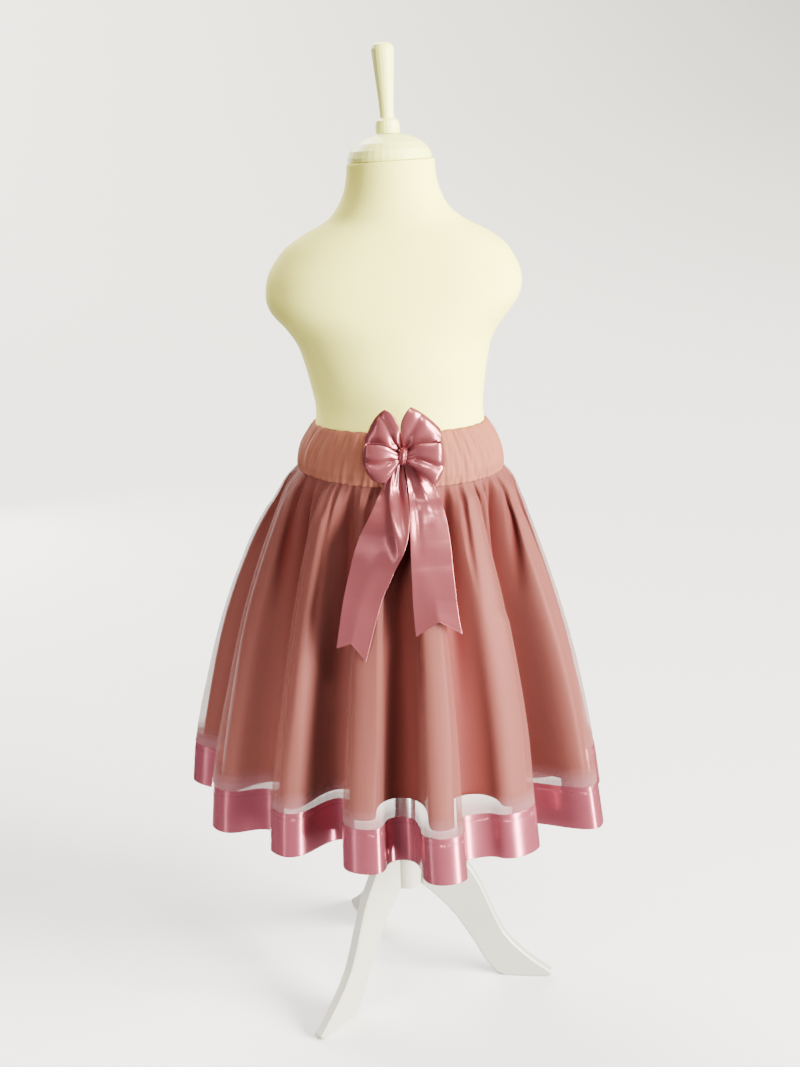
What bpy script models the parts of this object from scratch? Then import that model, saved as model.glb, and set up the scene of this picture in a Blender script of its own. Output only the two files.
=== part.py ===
"""Child's tulle skirt with a satin bow and hem ribbon, worn on a limbless dress form.

Metres, +Z up, front of the skirt towards -Y. The origin is on the floor under the
middle of the part's box. All sizes below are measured from the pole, and the empty
stand_axis carries every piece to its place. The skirt is two layers, a tulle skirt
over a satin lining, each with a front and a back panel, gathered into an elastic
waistband. Angles around the skirt start at the front and grow towards +X.
"""
import math

import bmesh
import bpy
import numpy as np
from mathutils import Vector

# ---------------------------------------------------------------- driving dimensions
GAP = 0.0003                # clearance between pieces that touch
SHARP_ANGLE = math.radians(50)

# stand
STAND_AT = (0.0109, 0.0125, 0.0)    # the pole's foot, from the middle of the part's box
LEG_COUNT = 3
LEG_TURN = math.radians(-6.6)
LEG_THICKNESS = 0.013
LEG_EDGE = 0.0018
HUB_RADIUS = 0.019
HUB_BOTTOM = 0.121
HUB_TOP = 0.190
POLE_RADIUS = 0.0125

# dress form
FORM_BOTTOM = 0.530
NECK_TOP = 0.9695
NECK_TILT = math.radians(-2.5)
FORM_COLUMNS = 36

# skirt
SEAM_HEIGHT = 0.6335
WAIST_FORWARD = 0.003       # the waist's middle lies this far in front of the pole
BAND_CLEARANCE = 0.0006
BAND_GATHERS = 40
BAND_POINTS = 3             # points around a band gather
BAND_RIPPLE = 0.0009
FOLD_POINTS = 10            # points around one fold of the skirt
TULLE_WALL = 0.0010
LINING_WALL = 0.0012
RIBBON_WALL = 0.0010
LINING_HEM_SHARE = 0.89     # where the lining ends between the ribbon's top and the row above
PANEL_EASE = GAP / 2

# bow
KNOT_HEIGHT = 0.6735
KNOT_X = 0.0066
KNOT_HALF = (0.0062, 0.0115, 0.0095)
KNOT_Y = -0.1090
KNOT_BACK = 1.35            # the knot's back half is this much deeper, to reach the waistband
LOOP_STEPS = 14
LOOP_ACROSS = 3
LOOP_PINCH = 0.0085         # width of a loop where it enters the knot
LOOP_FAN = 0.85             # how evenly a loop widens away from the knot
LOOP_SWELL = 1.3            # how much fuller a loop is than its stated opening
LOOP_LAYERS = 1.5           # a loop's two layers leave the knot this many walls off its middle
TAIL_ACROSS = 4
TAIL_BEHIND = 0.004         # a tail leaves the knot this far behind its middle
TAIL_CLEARANCE = 0.0036
TAIL_REACH = 0.018          # how far to each side a tail feels the folds under it

# ---------------------------------------------------------------- tables
# leg board: reach from the pole, height, whether the outline turns sharply there
LEG = [
    dict(reach=0.0193, height=0.1210, sharp=True),
    dict(reach=0.0370, height=0.1050, sharp=False),
    dict(reach=0.0600, height=0.0800, sharp=False),
    dict(reach=0.0850, height=0.0400, sharp=False),
    dict(reach=0.1080, height=0.0050, sharp=False),
    dict(reach=0.1180, height=0.0000, sharp=True),
    dict(reach=0.1710, height=0.0000, sharp=True),
    dict(reach=0.1770, height=0.0050, sharp=False),
    dict(reach=0.1735, height=0.0090, sharp=True),
    dict(reach=0.1440, height=0.0315, sharp=False),
    dict(reach=0.1180, height=0.0600, sharp=False),
    dict(reach=0.0990, height=0.1030, sharp=False),
    dict(reach=0.0800, height=0.1420, sharp=False),
    dict(reach=0.0500, height=0.1720, sharp=False),
    dict(reach=0.0193, height=0.1800, sharp=True),
]

# dress form: sections from the bottom up; shift is towards +X, forward to the front
FORM = [
    dict(height=FORM_BOTTOM, wide=0.0880, deep=0.0700, shift=0.0020, forward=0.003, square=2.1),
    dict(height=0.5400, wide=0.0990, deep=0.0800, shift=0.0020, forward=0.003, square=2.1),
    dict(height=0.5650, wide=0.1065, deep=0.0860, shift=0.0020, forward=0.003, square=2.1),
    dict(height=0.6050, wide=0.1105, deep=0.0890, shift=0.0030, forward=0.003, square=2.1),
    dict(height=0.6338, wide=0.1100, deep=0.0905, shift=0.0040, forward=WAIST_FORWARD, square=2.1),
    dict(height=0.6500, wide=0.1062, deep=0.0870, shift=0.0045, forward=0.003, square=2.1),
    dict(height=0.6720, wide=0.0995, deep=0.0815, shift=0.0045, forward=0.002, square=2.1),
    dict(height=0.6925, wide=0.0935, deep=0.0770, shift=0.0045, forward=0.001, square=2.1),
    dict(height=0.7090, wide=0.0925, deep=0.0762, shift=0.0042, forward=0.000, square=2.1),
    dict(height=0.7310, wide=0.0953, deep=0.0785, shift=0.0030, forward=0.000, square=2.1),
    dict(height=0.7580, wide=0.1003, deep=0.0815, shift=0.0015, forward=0.000, square=2.1),
    dict(height=0.7800, wide=0.1068, deep=0.0830, shift=0.0000, forward=-0.001, square=2.1),
    dict(height=0.7970, wide=0.1172, deep=0.0830, shift=-0.0015, forward=-0.002, square=2.2),
    dict(height=0.8110, wide=0.1290, deep=0.0815, shift=-0.0025, forward=-0.003, square=2.3),
    dict(height=0.8235, wide=0.1363, deep=0.0790, shift=-0.0010, forward=-0.004, square=2.4),
    dict(height=0.8380, wide=0.1388, deep=0.0755, shift=0.0010, forward=-0.005, square=2.4),
    dict(height=0.8520, wide=0.1370, deep=0.0715, shift=0.0020, forward=-0.006, square=2.4),
    dict(height=0.8680, wide=0.1292, deep=0.0665, shift=0.0032, forward=-0.007, square=2.3),
    dict(height=0.8830, wide=0.1170, deep=0.0610, shift=0.0045, forward=-0.008, square=2.2),
    dict(height=0.8960, wide=0.0975, deep=0.0555, shift=0.0052, forward=-0.009, square=2.1),
    dict(height=0.9080, wide=0.0750, deep=0.0510, shift=0.0045, forward=-0.009, square=2.0),
    dict(height=0.9210, wide=0.0610, deep=0.0478, shift=0.0022, forward=-0.008, square=2.0),
    dict(height=0.9370, wide=0.0525, deep=0.0455, shift=0.0015, forward=-0.007, square=2.0),
    dict(height=0.9530, wide=0.0482, deep=0.0445, shift=0.0008, forward=-0.006, square=2.0),
    dict(height=NECK_TOP, wide=0.0468, deep=0.0445, shift=0.0008, forward=-0.006, square=2.0),
]

# neck cap and finial: radius and height above the neck, from the top down
FINIAL = [
    dict(radius=0.0000, rise=0.1200),
    dict(radius=0.0060, rise=0.1193),
    dict(radius=0.0100, rise=0.1172),
    dict(radius=0.0121, rise=0.1135),
    dict(radius=0.0119, rise=0.1095),
    dict(radius=0.0103, rise=0.0890),
    dict(radius=0.0084, rise=0.0660),
    dict(radius=0.0073, rise=0.0480),
    dict(radius=0.0078, rise=0.0440),
    dict(radius=0.0118, rise=0.0410),
    dict(radius=0.0131, rise=0.0350),
    dict(radius=0.0126, rise=0.0283),
    dict(radius=0.0000, rise=0.0283),
]
CAP = [
    dict(radius=0.0000, rise=0.0280),
    dict(radius=0.0130, rise=0.0275),
    dict(radius=0.0250, rise=0.0240),
    dict(radius=0.0350, rise=0.0185),
    dict(radius=0.0420, rise=0.0115),
    dict(radius=0.0452, rise=0.0045),
    dict(radius=0.0446, rise=0.0010),
    dict(radius=0.0432, rise=0.0003),
    dict(radius=0.0000, rise=0.0003),
]

# waistband's outer face, from the top down
BAND = [
    dict(height=0.6925, wide=0.0968, deep=0.0802, ripple=1.0),
    dict(height=0.6720, wide=0.1115, deep=0.0932, ripple=0.6),
    dict(height=0.6500, wide=0.1166, deep=0.0972, ripple=0.8),
    dict(height=0.6338, wide=0.1160, deep=0.0963, ripple=1.0),
]

# skirt sections from the waist seam down: the outline through the fold crests, how
# far the folds have opened, the depth of the small gathers, the lining's distance
SECTIONS = [
    dict(height=SEAM_HEIGHT, shift=0.0040, wide=0.1150, deep=0.0953, fold=0.00, gather=0.0006, lining=0.0004),
    dict(height=0.6220, shift=0.0032, wide=0.1290, deep=0.1085, fold=0.12, gather=0.0034, lining=0.0006),
    dict(height=0.6040, shift=0.0013, wide=0.1405, deep=0.1190, fold=0.26, gather=0.0052, lining=0.0012),
    dict(height=0.5700, shift=-0.0013, wide=0.1568, deep=0.1325, fold=0.52, gather=0.0036, lining=0.0025),
    dict(height=0.5000, shift=-0.0035, wide=0.1832, deep=0.1550, fold=0.74, gather=0.0008, lining=0.0045),
    dict(height=0.4000, shift=-0.0045, wide=0.2130, deep=0.1785, fold=0.89, gather=0.0000, lining=0.0065),
    dict(height=0.2850, shift=-0.0060, wide=0.2385, deep=0.1995, fold=0.98, gather=0.0000, lining=0.0080),
    dict(height=0.2350, shift=-0.0050, wide=0.2450, deep=0.2050, fold=1.00, gather=0.0000, lining=0.0080),
]

# folds round the hem: each crest and the valley that follows it, as an angle and a
# share of the outline's radius, how far the crest rides up, and how upright the walls
# between crest and valley stand
FOLDS = [
    dict(crest=-70, reach=0.935, valley=-54, depth=0.70, lift=0.000, swing=0.105),
    dict(crest=-38.5, reach=0.860, valley=-27, depth=0.57, lift=-0.001, swing=0.120),
    dict(crest=-10, reach=0.895, valley=0.5, depth=0.75, lift=-0.002, swing=0.120),
    dict(crest=11, reach=1.030, valley=23, depth=0.82, lift=-0.002, swing=0.110),
    dict(crest=38, reach=0.910, valley=56, depth=0.66, lift=-0.001, swing=0.100),
    dict(crest=66, reach=1.015, valley=83, depth=0.79, lift=-0.001, swing=0.130),
    dict(crest=98, reach=0.990, valley=112, depth=0.66, lift=0.006, swing=0.110),
    dict(crest=126, reach=0.940, valley=139, depth=0.60, lift=0.002, swing=0.100),
    dict(crest=152, reach=0.980, valley=164, depth=0.72, lift=0.004, swing=0.120),
    dict(crest=177, reach=0.920, valley=190, depth=0.62, lift=0.000, swing=0.110),
    dict(crest=204, reach=0.990, valley=217, depth=0.74, lift=0.003, swing=0.120),
    dict(crest=230, reach=0.940, valley=243, depth=0.66, lift=0.004, swing=0.100),
    dict(crest=256, reach=1.060, valley=269, depth=0.80, lift=0.012, swing=0.110),
]
FRONT_FOLDS = 6             # the front panel has the first six folds

# bow loops: direction seen from the front, length, width at the outer end, distance
# from the knot's middle towards the front, half the opening
LOOPS = [
    dict(name="bow_loop_upper_left", turn=126, length=0.045, width=0.029, out=-0.0062, open=0.0052),
    dict(name="bow_loop_upper_right", turn=56, length=0.047, width=0.040, out=-0.0062, open=0.0052),
    dict(name="bow_loop_side_left", turn=196, length=0.039, width=0.040, out=0.0062, open=0.0056),
    dict(name="bow_loop_side_right", turn=-10, length=0.039, width=0.045, out=0.0062, open=0.0056),
]

# bow tails from the knot down: left and right edge seen from the front, and height
TAIL_LEFT = [
    dict(left=0.0010, right=0.0063, height=0.6643),
    dict(left=-0.0110, right=0.0065, height=0.6420),
    dict(left=-0.0265, right=0.0070, height=0.6180),
    dict(left=-0.0430, right=0.0035, height=0.5880),
    dict(left=-0.0530, right=-0.0090, height=0.5530),
    dict(left=-0.0620, right=-0.0240, height=0.5150),
    dict(left=-0.0680, right=-0.0370, height=0.4830),
]
TAIL_LEFT_END = dict(left=0.0070, notch=0.0010, right=0.0200)
TAIL_RIGHT = [
    dict(left=0.0069, right=0.0130, height=0.6643),
    dict(left=0.0105, right=0.0330, height=0.6420),
    dict(left=0.0110, right=0.0440, height=0.6180),
    dict(left=0.0112, right=0.0520, height=0.5880),
    dict(left=0.0118, right=0.0555, height=0.5530),
    dict(left=0.0135, right=0.0605, height=0.5150),
    dict(left=0.0148, right=0.0640, height=0.5030),
]
TAIL_RIGHT_END = dict(left=0.0110, notch=-0.0050, right=0.0090)

# ---------------------------------------------------------------- materials
# colour, roughness, metallic
MATERIALS = dict(
    tulle=((0.62, 0.36, 0.32), 0.80, 0.0),
    lining_satin=((0.50, 0.21, 0.17), 0.45, 0.0),
    ribbon_satin=((0.58, 0.22, 0.26), 0.30, 0.0),
    band_tulle=((0.66, 0.36, 0.28), 0.80, 0.0),
    form_jersey=((0.86, 0.80, 0.62), 0.85, 0.0),
    painted_wood=((0.88, 0.86, 0.80), 0.35, 0.0),
    pole_metal=((0.75, 0.75, 0.74), 0.30, 1.0),
)


def make_material(name):
    colour, roughness, metallic = MATERIALS[name]
    material = bpy.data.materials.new(name)
    material.use_nodes = True
    shader = material.node_tree.nodes["Principled BSDF"]
    shader.inputs["Base Color"].default_value = (*colour, 1.0)
    shader.inputs["Roughness"].default_value = roughness
    shader.inputs["Metallic"].default_value = metallic
    return material


def add_part(name, data, material):
    """Puts a mesh or curve in the part's collection under its node's name."""
    part = bpy.data.objects.new(name, data)
    part.parent = bpy.data.objects["stand_axis"]
    data.materials.append(bpy.data.materials[material])
    bpy.data.collections["tulle_skirt_on_form"].objects.link(part)
    return part


# ---------------------------------------------------------------- grids of points
def section_point(wide, deep, square, angle):
    """A point of a rounded section; an exponent of 2 gives an ellipse."""
    side, front = math.sin(angle), math.cos(angle)
    size = (abs(side) ** square + abs(front) ** square) ** (-1.0 / square)
    return np.array([wide * size * side, -deep * size * front])


def section_ring(row, columns, grow=0.0):
    ring = []
    for column in range(columns):
        angle = 2 * math.pi * column / columns
        x, y = section_point(row["wide"] + grow, row["deep"] + grow, row["square"], angle)
        ring.append((x + row["shift"], y - row["forward"], row["height"]))
    return ring


def grid_mesh(name, grid, closed):
    """Faces through rows of points; rows run down, columns to the right seen from outside."""
    rows, columns = len(grid), len(grid[0])
    sheet = bmesh.new()
    points = [[sheet.verts.new(Vector(point)) for point in row] for row in grid]
    for row in range(rows - 1):
        for column in range(columns if closed else columns - 1):
            beside = (column + 1) % columns
            sheet.faces.new((points[row + 1][column], points[row + 1][beside],
                             points[row][beside], points[row][column]))
    mesh = bpy.data.meshes.new(name)
    sheet.to_mesh(mesh)
    sheet.free()
    mesh.shade_smooth()
    return mesh


def loft_mesh(name, grid):
    """A closed body through rings of points, with flat ends."""
    mesh = grid_mesh(name, grid, closed=True)
    body = bmesh.new()
    body.from_mesh(mesh)
    open_edges = [edge for edge in body.edges if edge.is_boundary]
    bmesh.ops.holes_fill(body, edges=open_edges, sides=0)
    bmesh.ops.recalc_face_normals(body, faces=body.faces)
    body.to_mesh(mesh)
    body.free()
    mesh.set_sharp_from_angle(angle=SHARP_ANGLE)
    return mesh


def add_cloth(name, grid, closed, wall, material):
    """A sheet whose wall grows inwards from its outer points."""
    part = add_part(name, grid_mesh(name, grid, closed), material)
    thicken = part.modifiers.new("wall", "SOLIDIFY")
    thicken.thickness = wall
    thicken.offset = -1.0
    return part


def moved_out(grid, distance):
    """The points of a closed grid moved along its outward direction, a distance per row."""
    along = np.roll(grid, -1, axis=1) - np.roll(grid, 1, axis=1)
    rise = np.empty_like(grid)
    rise[1:-1] = grid[:-2] - grid[2:]
    rise[0] = grid[0] - grid[1]
    rise[-1] = grid[-2] - grid[-1]
    outward = np.cross(along, rise)
    outward /= np.linalg.norm(outward, axis=2, keepdims=True)
    return grid + outward * np.asarray(distance)[:, None, None]


# ---------------------------------------------------------------- skirt surface
def fold_stations():
    """Around the hem: angle, share of radius, lift, and place in the fold, per column."""
    stations = []
    half = FOLD_POINTS // 2
    for number, fold in enumerate(FOLDS):
        before = FOLDS[number - 1]
        turn = 360 if number == 0 else 0
        start, middle, end = before["valley"] - turn, fold["crest"], fold["valley"]
        for step in range(FOLD_POINTS):
            rising = step < half
            part = step / half if rising else (step - half) / half
            first, last = (start, middle) if rising else (middle, end)
            eased = part + fold["swing"] * math.sin(2 * math.pi * part)
            level = (1 - math.cos(math.pi * part)) / 2
            low = before["depth"] if rising else fold["depth"]
            height_share = level if rising else 1 - level
            stations.append(dict(
                plain=math.radians(first + (last - first) * part),
                swung=math.radians(first + (last - first) * eased),
                reach=low + (fold["reach"] - low) * height_share,
                lift=fold["lift"] * height_share,
                phase=2 * math.pi * step / FOLD_POINTS))
    return stations


def skirt_grid():
    """Outer face of the tulle: a row per section, a column per station."""
    grid = []
    for row in SECTIONS:
        open_share = row["fold"]
        points = []
        for station in fold_stations():
            plain, swung = station["plain"], station["swung"]
            side = (1 - open_share) * math.sin(plain) + open_share * station["reach"] * math.sin(swung)
            front = (1 - open_share) * math.cos(plain) + open_share * station["reach"] * math.cos(swung)
            gather = row["gather"] * (1 - math.cos(2 * station["phase"])) / 2 - row["gather"]
            points.append((
                (row["wide"] + gather) * side + row["shift"],
                -(row["deep"] + gather) * front - WAIST_FORWARD,
                row["height"] + station["lift"] * open_share))
        grid.append(points)
    return np.array(grid)


def panel(grid, first, last):
    """The columns of one panel, each end eased back from the side seam."""
    columns = [column % grid.shape[1] for column in range(first, last + 1)]
    cut = grid[:, columns].copy()
    for end, inner in ((0, 1), (-1, -2)):
        step = cut[:, inner] - cut[:, end]
        length = np.linalg.norm(step, axis=1, keepdims=True)
        cut[:, end] += step / length * PANEL_EASE
    return cut


def band_face(height):
    """The flat that touches the waistband's front on its two middle rows, at a height."""
    upper, lower = BAND[1], BAND[2]
    forward = {round(row["height"], 4): row["forward"] for row in FORM}
    first, last = (-row["deep"] - forward[row["height"]] - BAND_RIPPLE for row in (upper, lower))
    share = (upper["height"] - height) / (upper["height"] - lower["height"])
    return first + (last - first) * share


def front_edge(grid, x, height):
    """The front-most place of the skirt near x at a height."""
    heights = [row["height"] for row in SECTIONS]
    if height > heights[0]:
        return -max(row["deep"] for row in BAND) - WAIST_FORWARD - BAND_RIPPLE
    level = next(number for number in range(len(heights) - 1) if heights[number + 1] <= height)
    share = (heights[level] - height) / (heights[level] - heights[level + 1])
    ring = grid[level] * (1 - share) + grid[level + 1] * share
    near = ring[np.abs(ring[:, 0] - x) < TAIL_REACH]
    return near[:, 1].min()


# ---------------------------------------------------------------- the pieces
def build_stand():
    for number in range(LEG_COUNT):
        turn = LEG_TURN + 2 * math.pi * number / LEG_COUNT
        outline = bpy.data.curves.new(f"leg_{number + 1}", "CURVE")
        outline.dimensions = "2D"
        outline.fill_mode = "BOTH"
        outline.extrude = LEG_THICKNESS / 2
        outline.resolution_u = 2
        spline = outline.splines.new("BEZIER")
        spline.bezier_points.add(len(LEG) - 1)
        spline.use_cyclic_u = True
        for point, row in zip(spline.bezier_points, LEG):
            point.co = (row["reach"], row["height"], 0.0)
            kind = "VECTOR" if row["sharp"] else "AUTO"
            point.handle_left_type = kind
            point.handle_right_type = kind
        leg = add_part(f"leg_{number + 1}", outline, "painted_wood")
        leg.rotation_euler = (math.pi / 2, 0.0, turn)
        weld = leg.modifiers.new("weld", "WELD")
        weld.merge_threshold = 0.0001
        soften = leg.modifiers.new("soften", "BEVEL")
        soften.width = LEG_EDGE
        soften.segments = 1
        soften.limit_method = "ANGLE"
        soften.angle_limit = math.radians(60)

    for name, radius, low, high, material in (
            ("hub", HUB_RADIUS, HUB_BOTTOM, HUB_TOP, "painted_wood"),
            ("pole", POLE_RADIUS, HUB_TOP + GAP, FORM_BOTTOM - GAP, "pole_metal")):
        body = bmesh.new()
        bmesh.ops.create_cone(body, cap_ends=True, segments=32, radius1=radius,
                              radius2=radius, depth=high - low)
        mesh = bpy.data.meshes.new(name)
        body.to_mesh(mesh)
        body.free()
        mesh.shade_smooth()
        mesh.set_sharp_from_angle(angle=SHARP_ANGLE)
        post = add_part(name, mesh, material)
        post.location = (0.0, 0.0, (low + high) / 2)


def build_form():
    rings = [section_ring(row, FORM_COLUMNS) for row in reversed(FORM)]
    tilt = math.tan(NECK_TILT)
    rings[0] = [(x, y, z - x * tilt) for x, y, z in rings[0]]
    add_part("form_body", loft_mesh("form_body", rings), "form_jersey")
    neck_y = -FORM[-1]["forward"]
    for name, profile, steps in (("neck_cap", CAP, 36), ("finial", FINIAL, 20)):
        mesh = bpy.data.meshes.new(name)
        points = [(row["radius"], 0.0, row["rise"]) for row in profile]
        edges = [(number, number + 1) for number in range(len(points) - 1)]
        mesh.from_pydata(points, edges, [])
        turned = add_part(name, mesh, "painted_wood")
        turned.location = (0.0, neck_y, NECK_TOP)
        turned.rotation_euler = (0.0, NECK_TILT, 0.0)
        screw = turned.modifiers.new("turned", "SCREW")
        screw.steps = steps
        screw.render_steps = steps
        screw.use_merge_vertices = True
        screw.merge_threshold = 0.0001
        screw.use_smooth_shade = True


def build_waistband():
    columns = BAND_GATHERS * BAND_POINTS
    form_rows = {round(row["height"], 4): row for row in FORM}
    outer, inner = [], []
    for row in BAND:
        form_row = form_rows[round(row["height"], 4)]
        ring = []
        for column in range(columns):
            angle = 2 * math.pi * column / columns
            wave = math.cos(angle * BAND_GATHERS) * BAND_RIPPLE * row["ripple"]
            x, y = section_point(row["wide"] + wave, row["deep"] + wave, form_row["square"], angle)
            ring.append((x + form_row["shift"], y - form_row["forward"], row["height"]))
        outer.append(ring)
        inner.append(section_ring(form_row, columns, BAND_CLEARANCE))
    band = bmesh.new()
    outside = [[band.verts.new(Vector(point)) for point in row] for row in outer]
    inside = [[band.verts.new(Vector(point)) for point in row] for row in inner]
    loop = outside + inside[::-1] + outside[:1]
    for upper, lower in zip(loop, loop[1:]):
        for column in range(columns):
            beside = (column + 1) % columns
            band.faces.new((lower[column], lower[beside], upper[beside], upper[column]))
    mesh = bpy.data.meshes.new("waistband")
    band.to_mesh(mesh)
    band.free()
    mesh.shade_smooth()
    mesh.set_sharp_from_angle(angle=SHARP_ANGLE)
    add_part("waistband", mesh, "band_tulle")


def build_skirt():
    tulle = skirt_grid()
    columns = tulle.shape[1]
    split = FRONT_FOLDS * FOLD_POINTS
    inset = [-(TULLE_WALL + row["lining"]) for row in SECTIONS]
    lining = moved_out(tulle, inset)
    hem = lining[-3] * (1 - LINING_HEM_SHARE) + lining[-2] * LINING_HEM_SHARE
    lining = np.concatenate([lining[:-2], hem[None]])
    for side, first, last in (("front", 0, split), ("back", split, columns)):
        add_cloth(f"tulle_{side}", panel(tulle, first, last), False, TULLE_WALL, "tulle")
        add_cloth(f"lining_{side}", panel(lining, first, last), False, LINING_WALL, "lining_satin")
    ribbon = moved_out(tulle, [GAP + RIBBON_WALL] * len(SECTIONS))[-2:]
    add_cloth("hem_ribbon", ribbon, True, RIBBON_WALL, "ribbon_satin")
    return tulle


def build_bow(tulle):
    half_x, half_y, half_z = KNOT_HALF
    knot = bmesh.new()
    bmesh.ops.create_uvsphere(knot, u_segments=12, v_segments=8, radius=1.0)
    bmesh.ops.scale(knot, vec=Vector(KNOT_HALF), verts=knot.verts)
    for vertex in knot.verts:
        if vertex.co.y > 0:
            seat = band_face(KNOT_HEIGHT + vertex.co.z) - GAP - KNOT_Y
            vertex.co.y = min(vertex.co.y * KNOT_BACK, seat)
    mesh = bpy.data.meshes.new("bow_knot")
    knot.to_mesh(mesh)
    knot.free()
    mesh.shade_smooth()
    add_part("bow_knot", mesh, "ribbon_satin").location = (KNOT_X, KNOT_Y, KNOT_HEIGHT)

    for row in LOOPS:
        turn = math.radians(row["turn"])
        out_x, out_z = math.cos(turn), math.sin(turn)
        start = 1.0 / math.hypot(out_x / half_x, out_z / half_z) + GAP
        grid = []
        for step in range(LOOP_STEPS + 1):
            angle = 2 * math.pi * step / LOOP_STEPS
            far = (1 - math.cos(angle)) / 2
            reach = start + (row["length"] - start) * far
            out = (row["open"] * math.sin(angle) * math.sqrt(far) * LOOP_SWELL
                   + LOOP_LAYERS * RIBBON_WALL * math.cos(angle / 2))
            width = LOOP_PINCH + (row["width"] - LOOP_PINCH) * far ** LOOP_FAN
            line = []
            for across in range(LOOP_ACROSS + 1):
                side = width * (across / LOOP_ACROSS - 0.5)
                line.append((KNOT_X + out_x * reach - out_z * side,
                             KNOT_Y - row["out"] - out,
                             KNOT_HEIGHT + out_z * reach + out_x * side))
            grid.append(line)
        add_cloth(row["name"], grid, False, RIBBON_WALL, "ribbon_satin")

    for name, rows, end in (("bow_tail_left", TAIL_LEFT, TAIL_LEFT_END),
                            ("bow_tail_right", TAIL_RIGHT, TAIL_RIGHT_END)):
        grid = []
        for number, row in enumerate(rows):
            line = []
            for across in range(TAIL_ACROSS + 1):
                share = across / TAIL_ACROSS
                x = row["left"] + (row["right"] - row["left"]) * share
                height = row["height"]
                if number == len(rows) - 1:
                    height -= np.interp(share, (0, 0.5, 1), (end["left"], end["notch"], end["right"]))
                y = front_edge(tulle, x, height) - TAIL_CLEARANCE
                line.append((x, min(y, KNOT_Y + TAIL_BEHIND) if number == 0 else y, height))
            grid.append(line)
        add_cloth(name, grid, False, RIBBON_WALL, "ribbon_satin")


def main():
    for leftover in list(bpy.data.objects):
        bpy.data.objects.remove(leftover, do_unlink=True)
    collection = bpy.data.collections.new("tulle_skirt_on_form")
    bpy.context.scene.collection.children.link(collection)
    axis = bpy.data.objects.new("stand_axis", None)
    axis.location = STAND_AT
    collection.objects.link(axis)
    for name in MATERIALS:
        make_material(name)
    build_stand()
    build_form()
    build_waistband()
    tulle = build_skirt()
    build_bow(tulle)
    bpy.context.view_layer.update()


main()
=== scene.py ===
"""Looks of a child's tulle skirt with a satin bow and hem ribbon, on a limbless dress form.

Metres, +Z up, front towards -Y. Every place is measured from the pole's axis and carried
to the frame by STAND_AT. Angles start at the front and grow towards +X. Places round the
skirt are counted in folds: fold 0 starts in the valley at the left side seen from the
front, and the front panel has folds 0 to 5.
"""
import math

import bpy
import numpy as np
from mathutils import Matrix, Vector


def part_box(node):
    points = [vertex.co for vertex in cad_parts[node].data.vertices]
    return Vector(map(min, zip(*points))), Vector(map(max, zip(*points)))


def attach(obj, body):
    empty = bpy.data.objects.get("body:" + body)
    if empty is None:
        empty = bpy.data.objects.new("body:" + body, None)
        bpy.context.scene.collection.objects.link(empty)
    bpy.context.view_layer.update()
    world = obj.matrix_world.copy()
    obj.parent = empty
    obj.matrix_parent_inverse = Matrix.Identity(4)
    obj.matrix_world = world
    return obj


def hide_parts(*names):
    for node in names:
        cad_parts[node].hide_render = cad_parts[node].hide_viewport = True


bl_info = {
    "name": "Tulle skirt on a dress form",
    "version": (1, 0, 0),
    "blender": (4, 5, 0),
    "location": "3D View > Sidebar > Skirt",
    "description": "Builds the cloth, the bow and the finishes of a child's tulle skirt",
    "category": "Object",
}

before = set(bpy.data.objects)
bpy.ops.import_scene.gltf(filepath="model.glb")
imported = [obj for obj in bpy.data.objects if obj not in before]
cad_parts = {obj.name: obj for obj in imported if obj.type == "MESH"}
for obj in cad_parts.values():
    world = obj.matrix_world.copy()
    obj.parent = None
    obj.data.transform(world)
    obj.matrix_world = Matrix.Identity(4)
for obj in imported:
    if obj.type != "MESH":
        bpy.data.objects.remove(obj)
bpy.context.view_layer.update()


def middle(node):
    """The middle of a node's box."""
    low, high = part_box(node)
    return [(first + last) / 2 for first, last in zip(low, high)]


def table(names, *rows):
    """Rows of numbers as dictionaries, with a name for each column."""
    return [dict(zip(names.split(), row)) for row in rows]


# ---------------------------------------------------------------- places from the frame
POLE_X, POLE_Y, _ = middle("pole")
STAND_AT = np.array([POLE_X, POLE_Y, 0.0])
BAND_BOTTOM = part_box("waistband")[0][2]
BAND_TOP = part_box("waistband")[1][2]

# ---------------------------------------------------------------- camera, for an 800 x 1067 image
FOCAL_PIXELS = 1400.0
IMAGE_HEIGHT = 1067.0
SENSOR = 36.0
CAMERA_DOWN = math.radians(15.34)
CAMERA_ROLL = math.radians(1.33)
CAMERA_AT = (0.0017, -1.534, 0.981)

# ---------------------------------------------------------------- skirt
WAIST_FORWARD = 0.003
TULLE_WALL = 0.0010
HEM_SHARE = 0.89            # where the lining ends between the ribbon's top and the row above
FRONT_FOLDS = 6

# sections from the waist seam down: the outline through the fold crests, how far the
# folds have opened, the depth of the gathers, the lining's distance from the tulle
SECTIONS = table(
    "height shift wide deep fold gather lining",
    (0.6335, 0.0040, 0.1150, 0.0953, 0.00, 0.0002, 0.0004),
    (0.6220, 0.0032, 0.1290, 0.1085, 0.12, 0.0070, 0.0006),
    (0.6040, 0.0013, 0.1405, 0.1190, 0.26, 0.0105, 0.0012),
    (0.5700, -0.0013, 0.1568, 0.1325, 0.52, 0.0100, 0.0020),
    (0.5000, -0.0035, 0.1832, 0.1550, 0.74, 0.0050, 0.0024),
    (0.4000, -0.0045, 0.2130, 0.1785, 0.89, 0.0006, 0.0034),
    (0.2850, -0.0060, 0.2385, 0.1995, 0.98, 0.0000, 0.0062),
    (0.2350, -0.0050, 0.2450, 0.2050, 1.00, 0.0000, 0.0062),
)
SEAM_HEIGHT = SECTIONS[0]["height"]
RIBBON_TOP = SECTIONS[-2]["height"]
HEM_HEIGHT = SECTIONS[-1]["height"]
LINING_HEM = SECTIONS[-3]["height"] * (1 - HEM_SHARE) + RIBBON_TOP * HEM_SHARE

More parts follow.
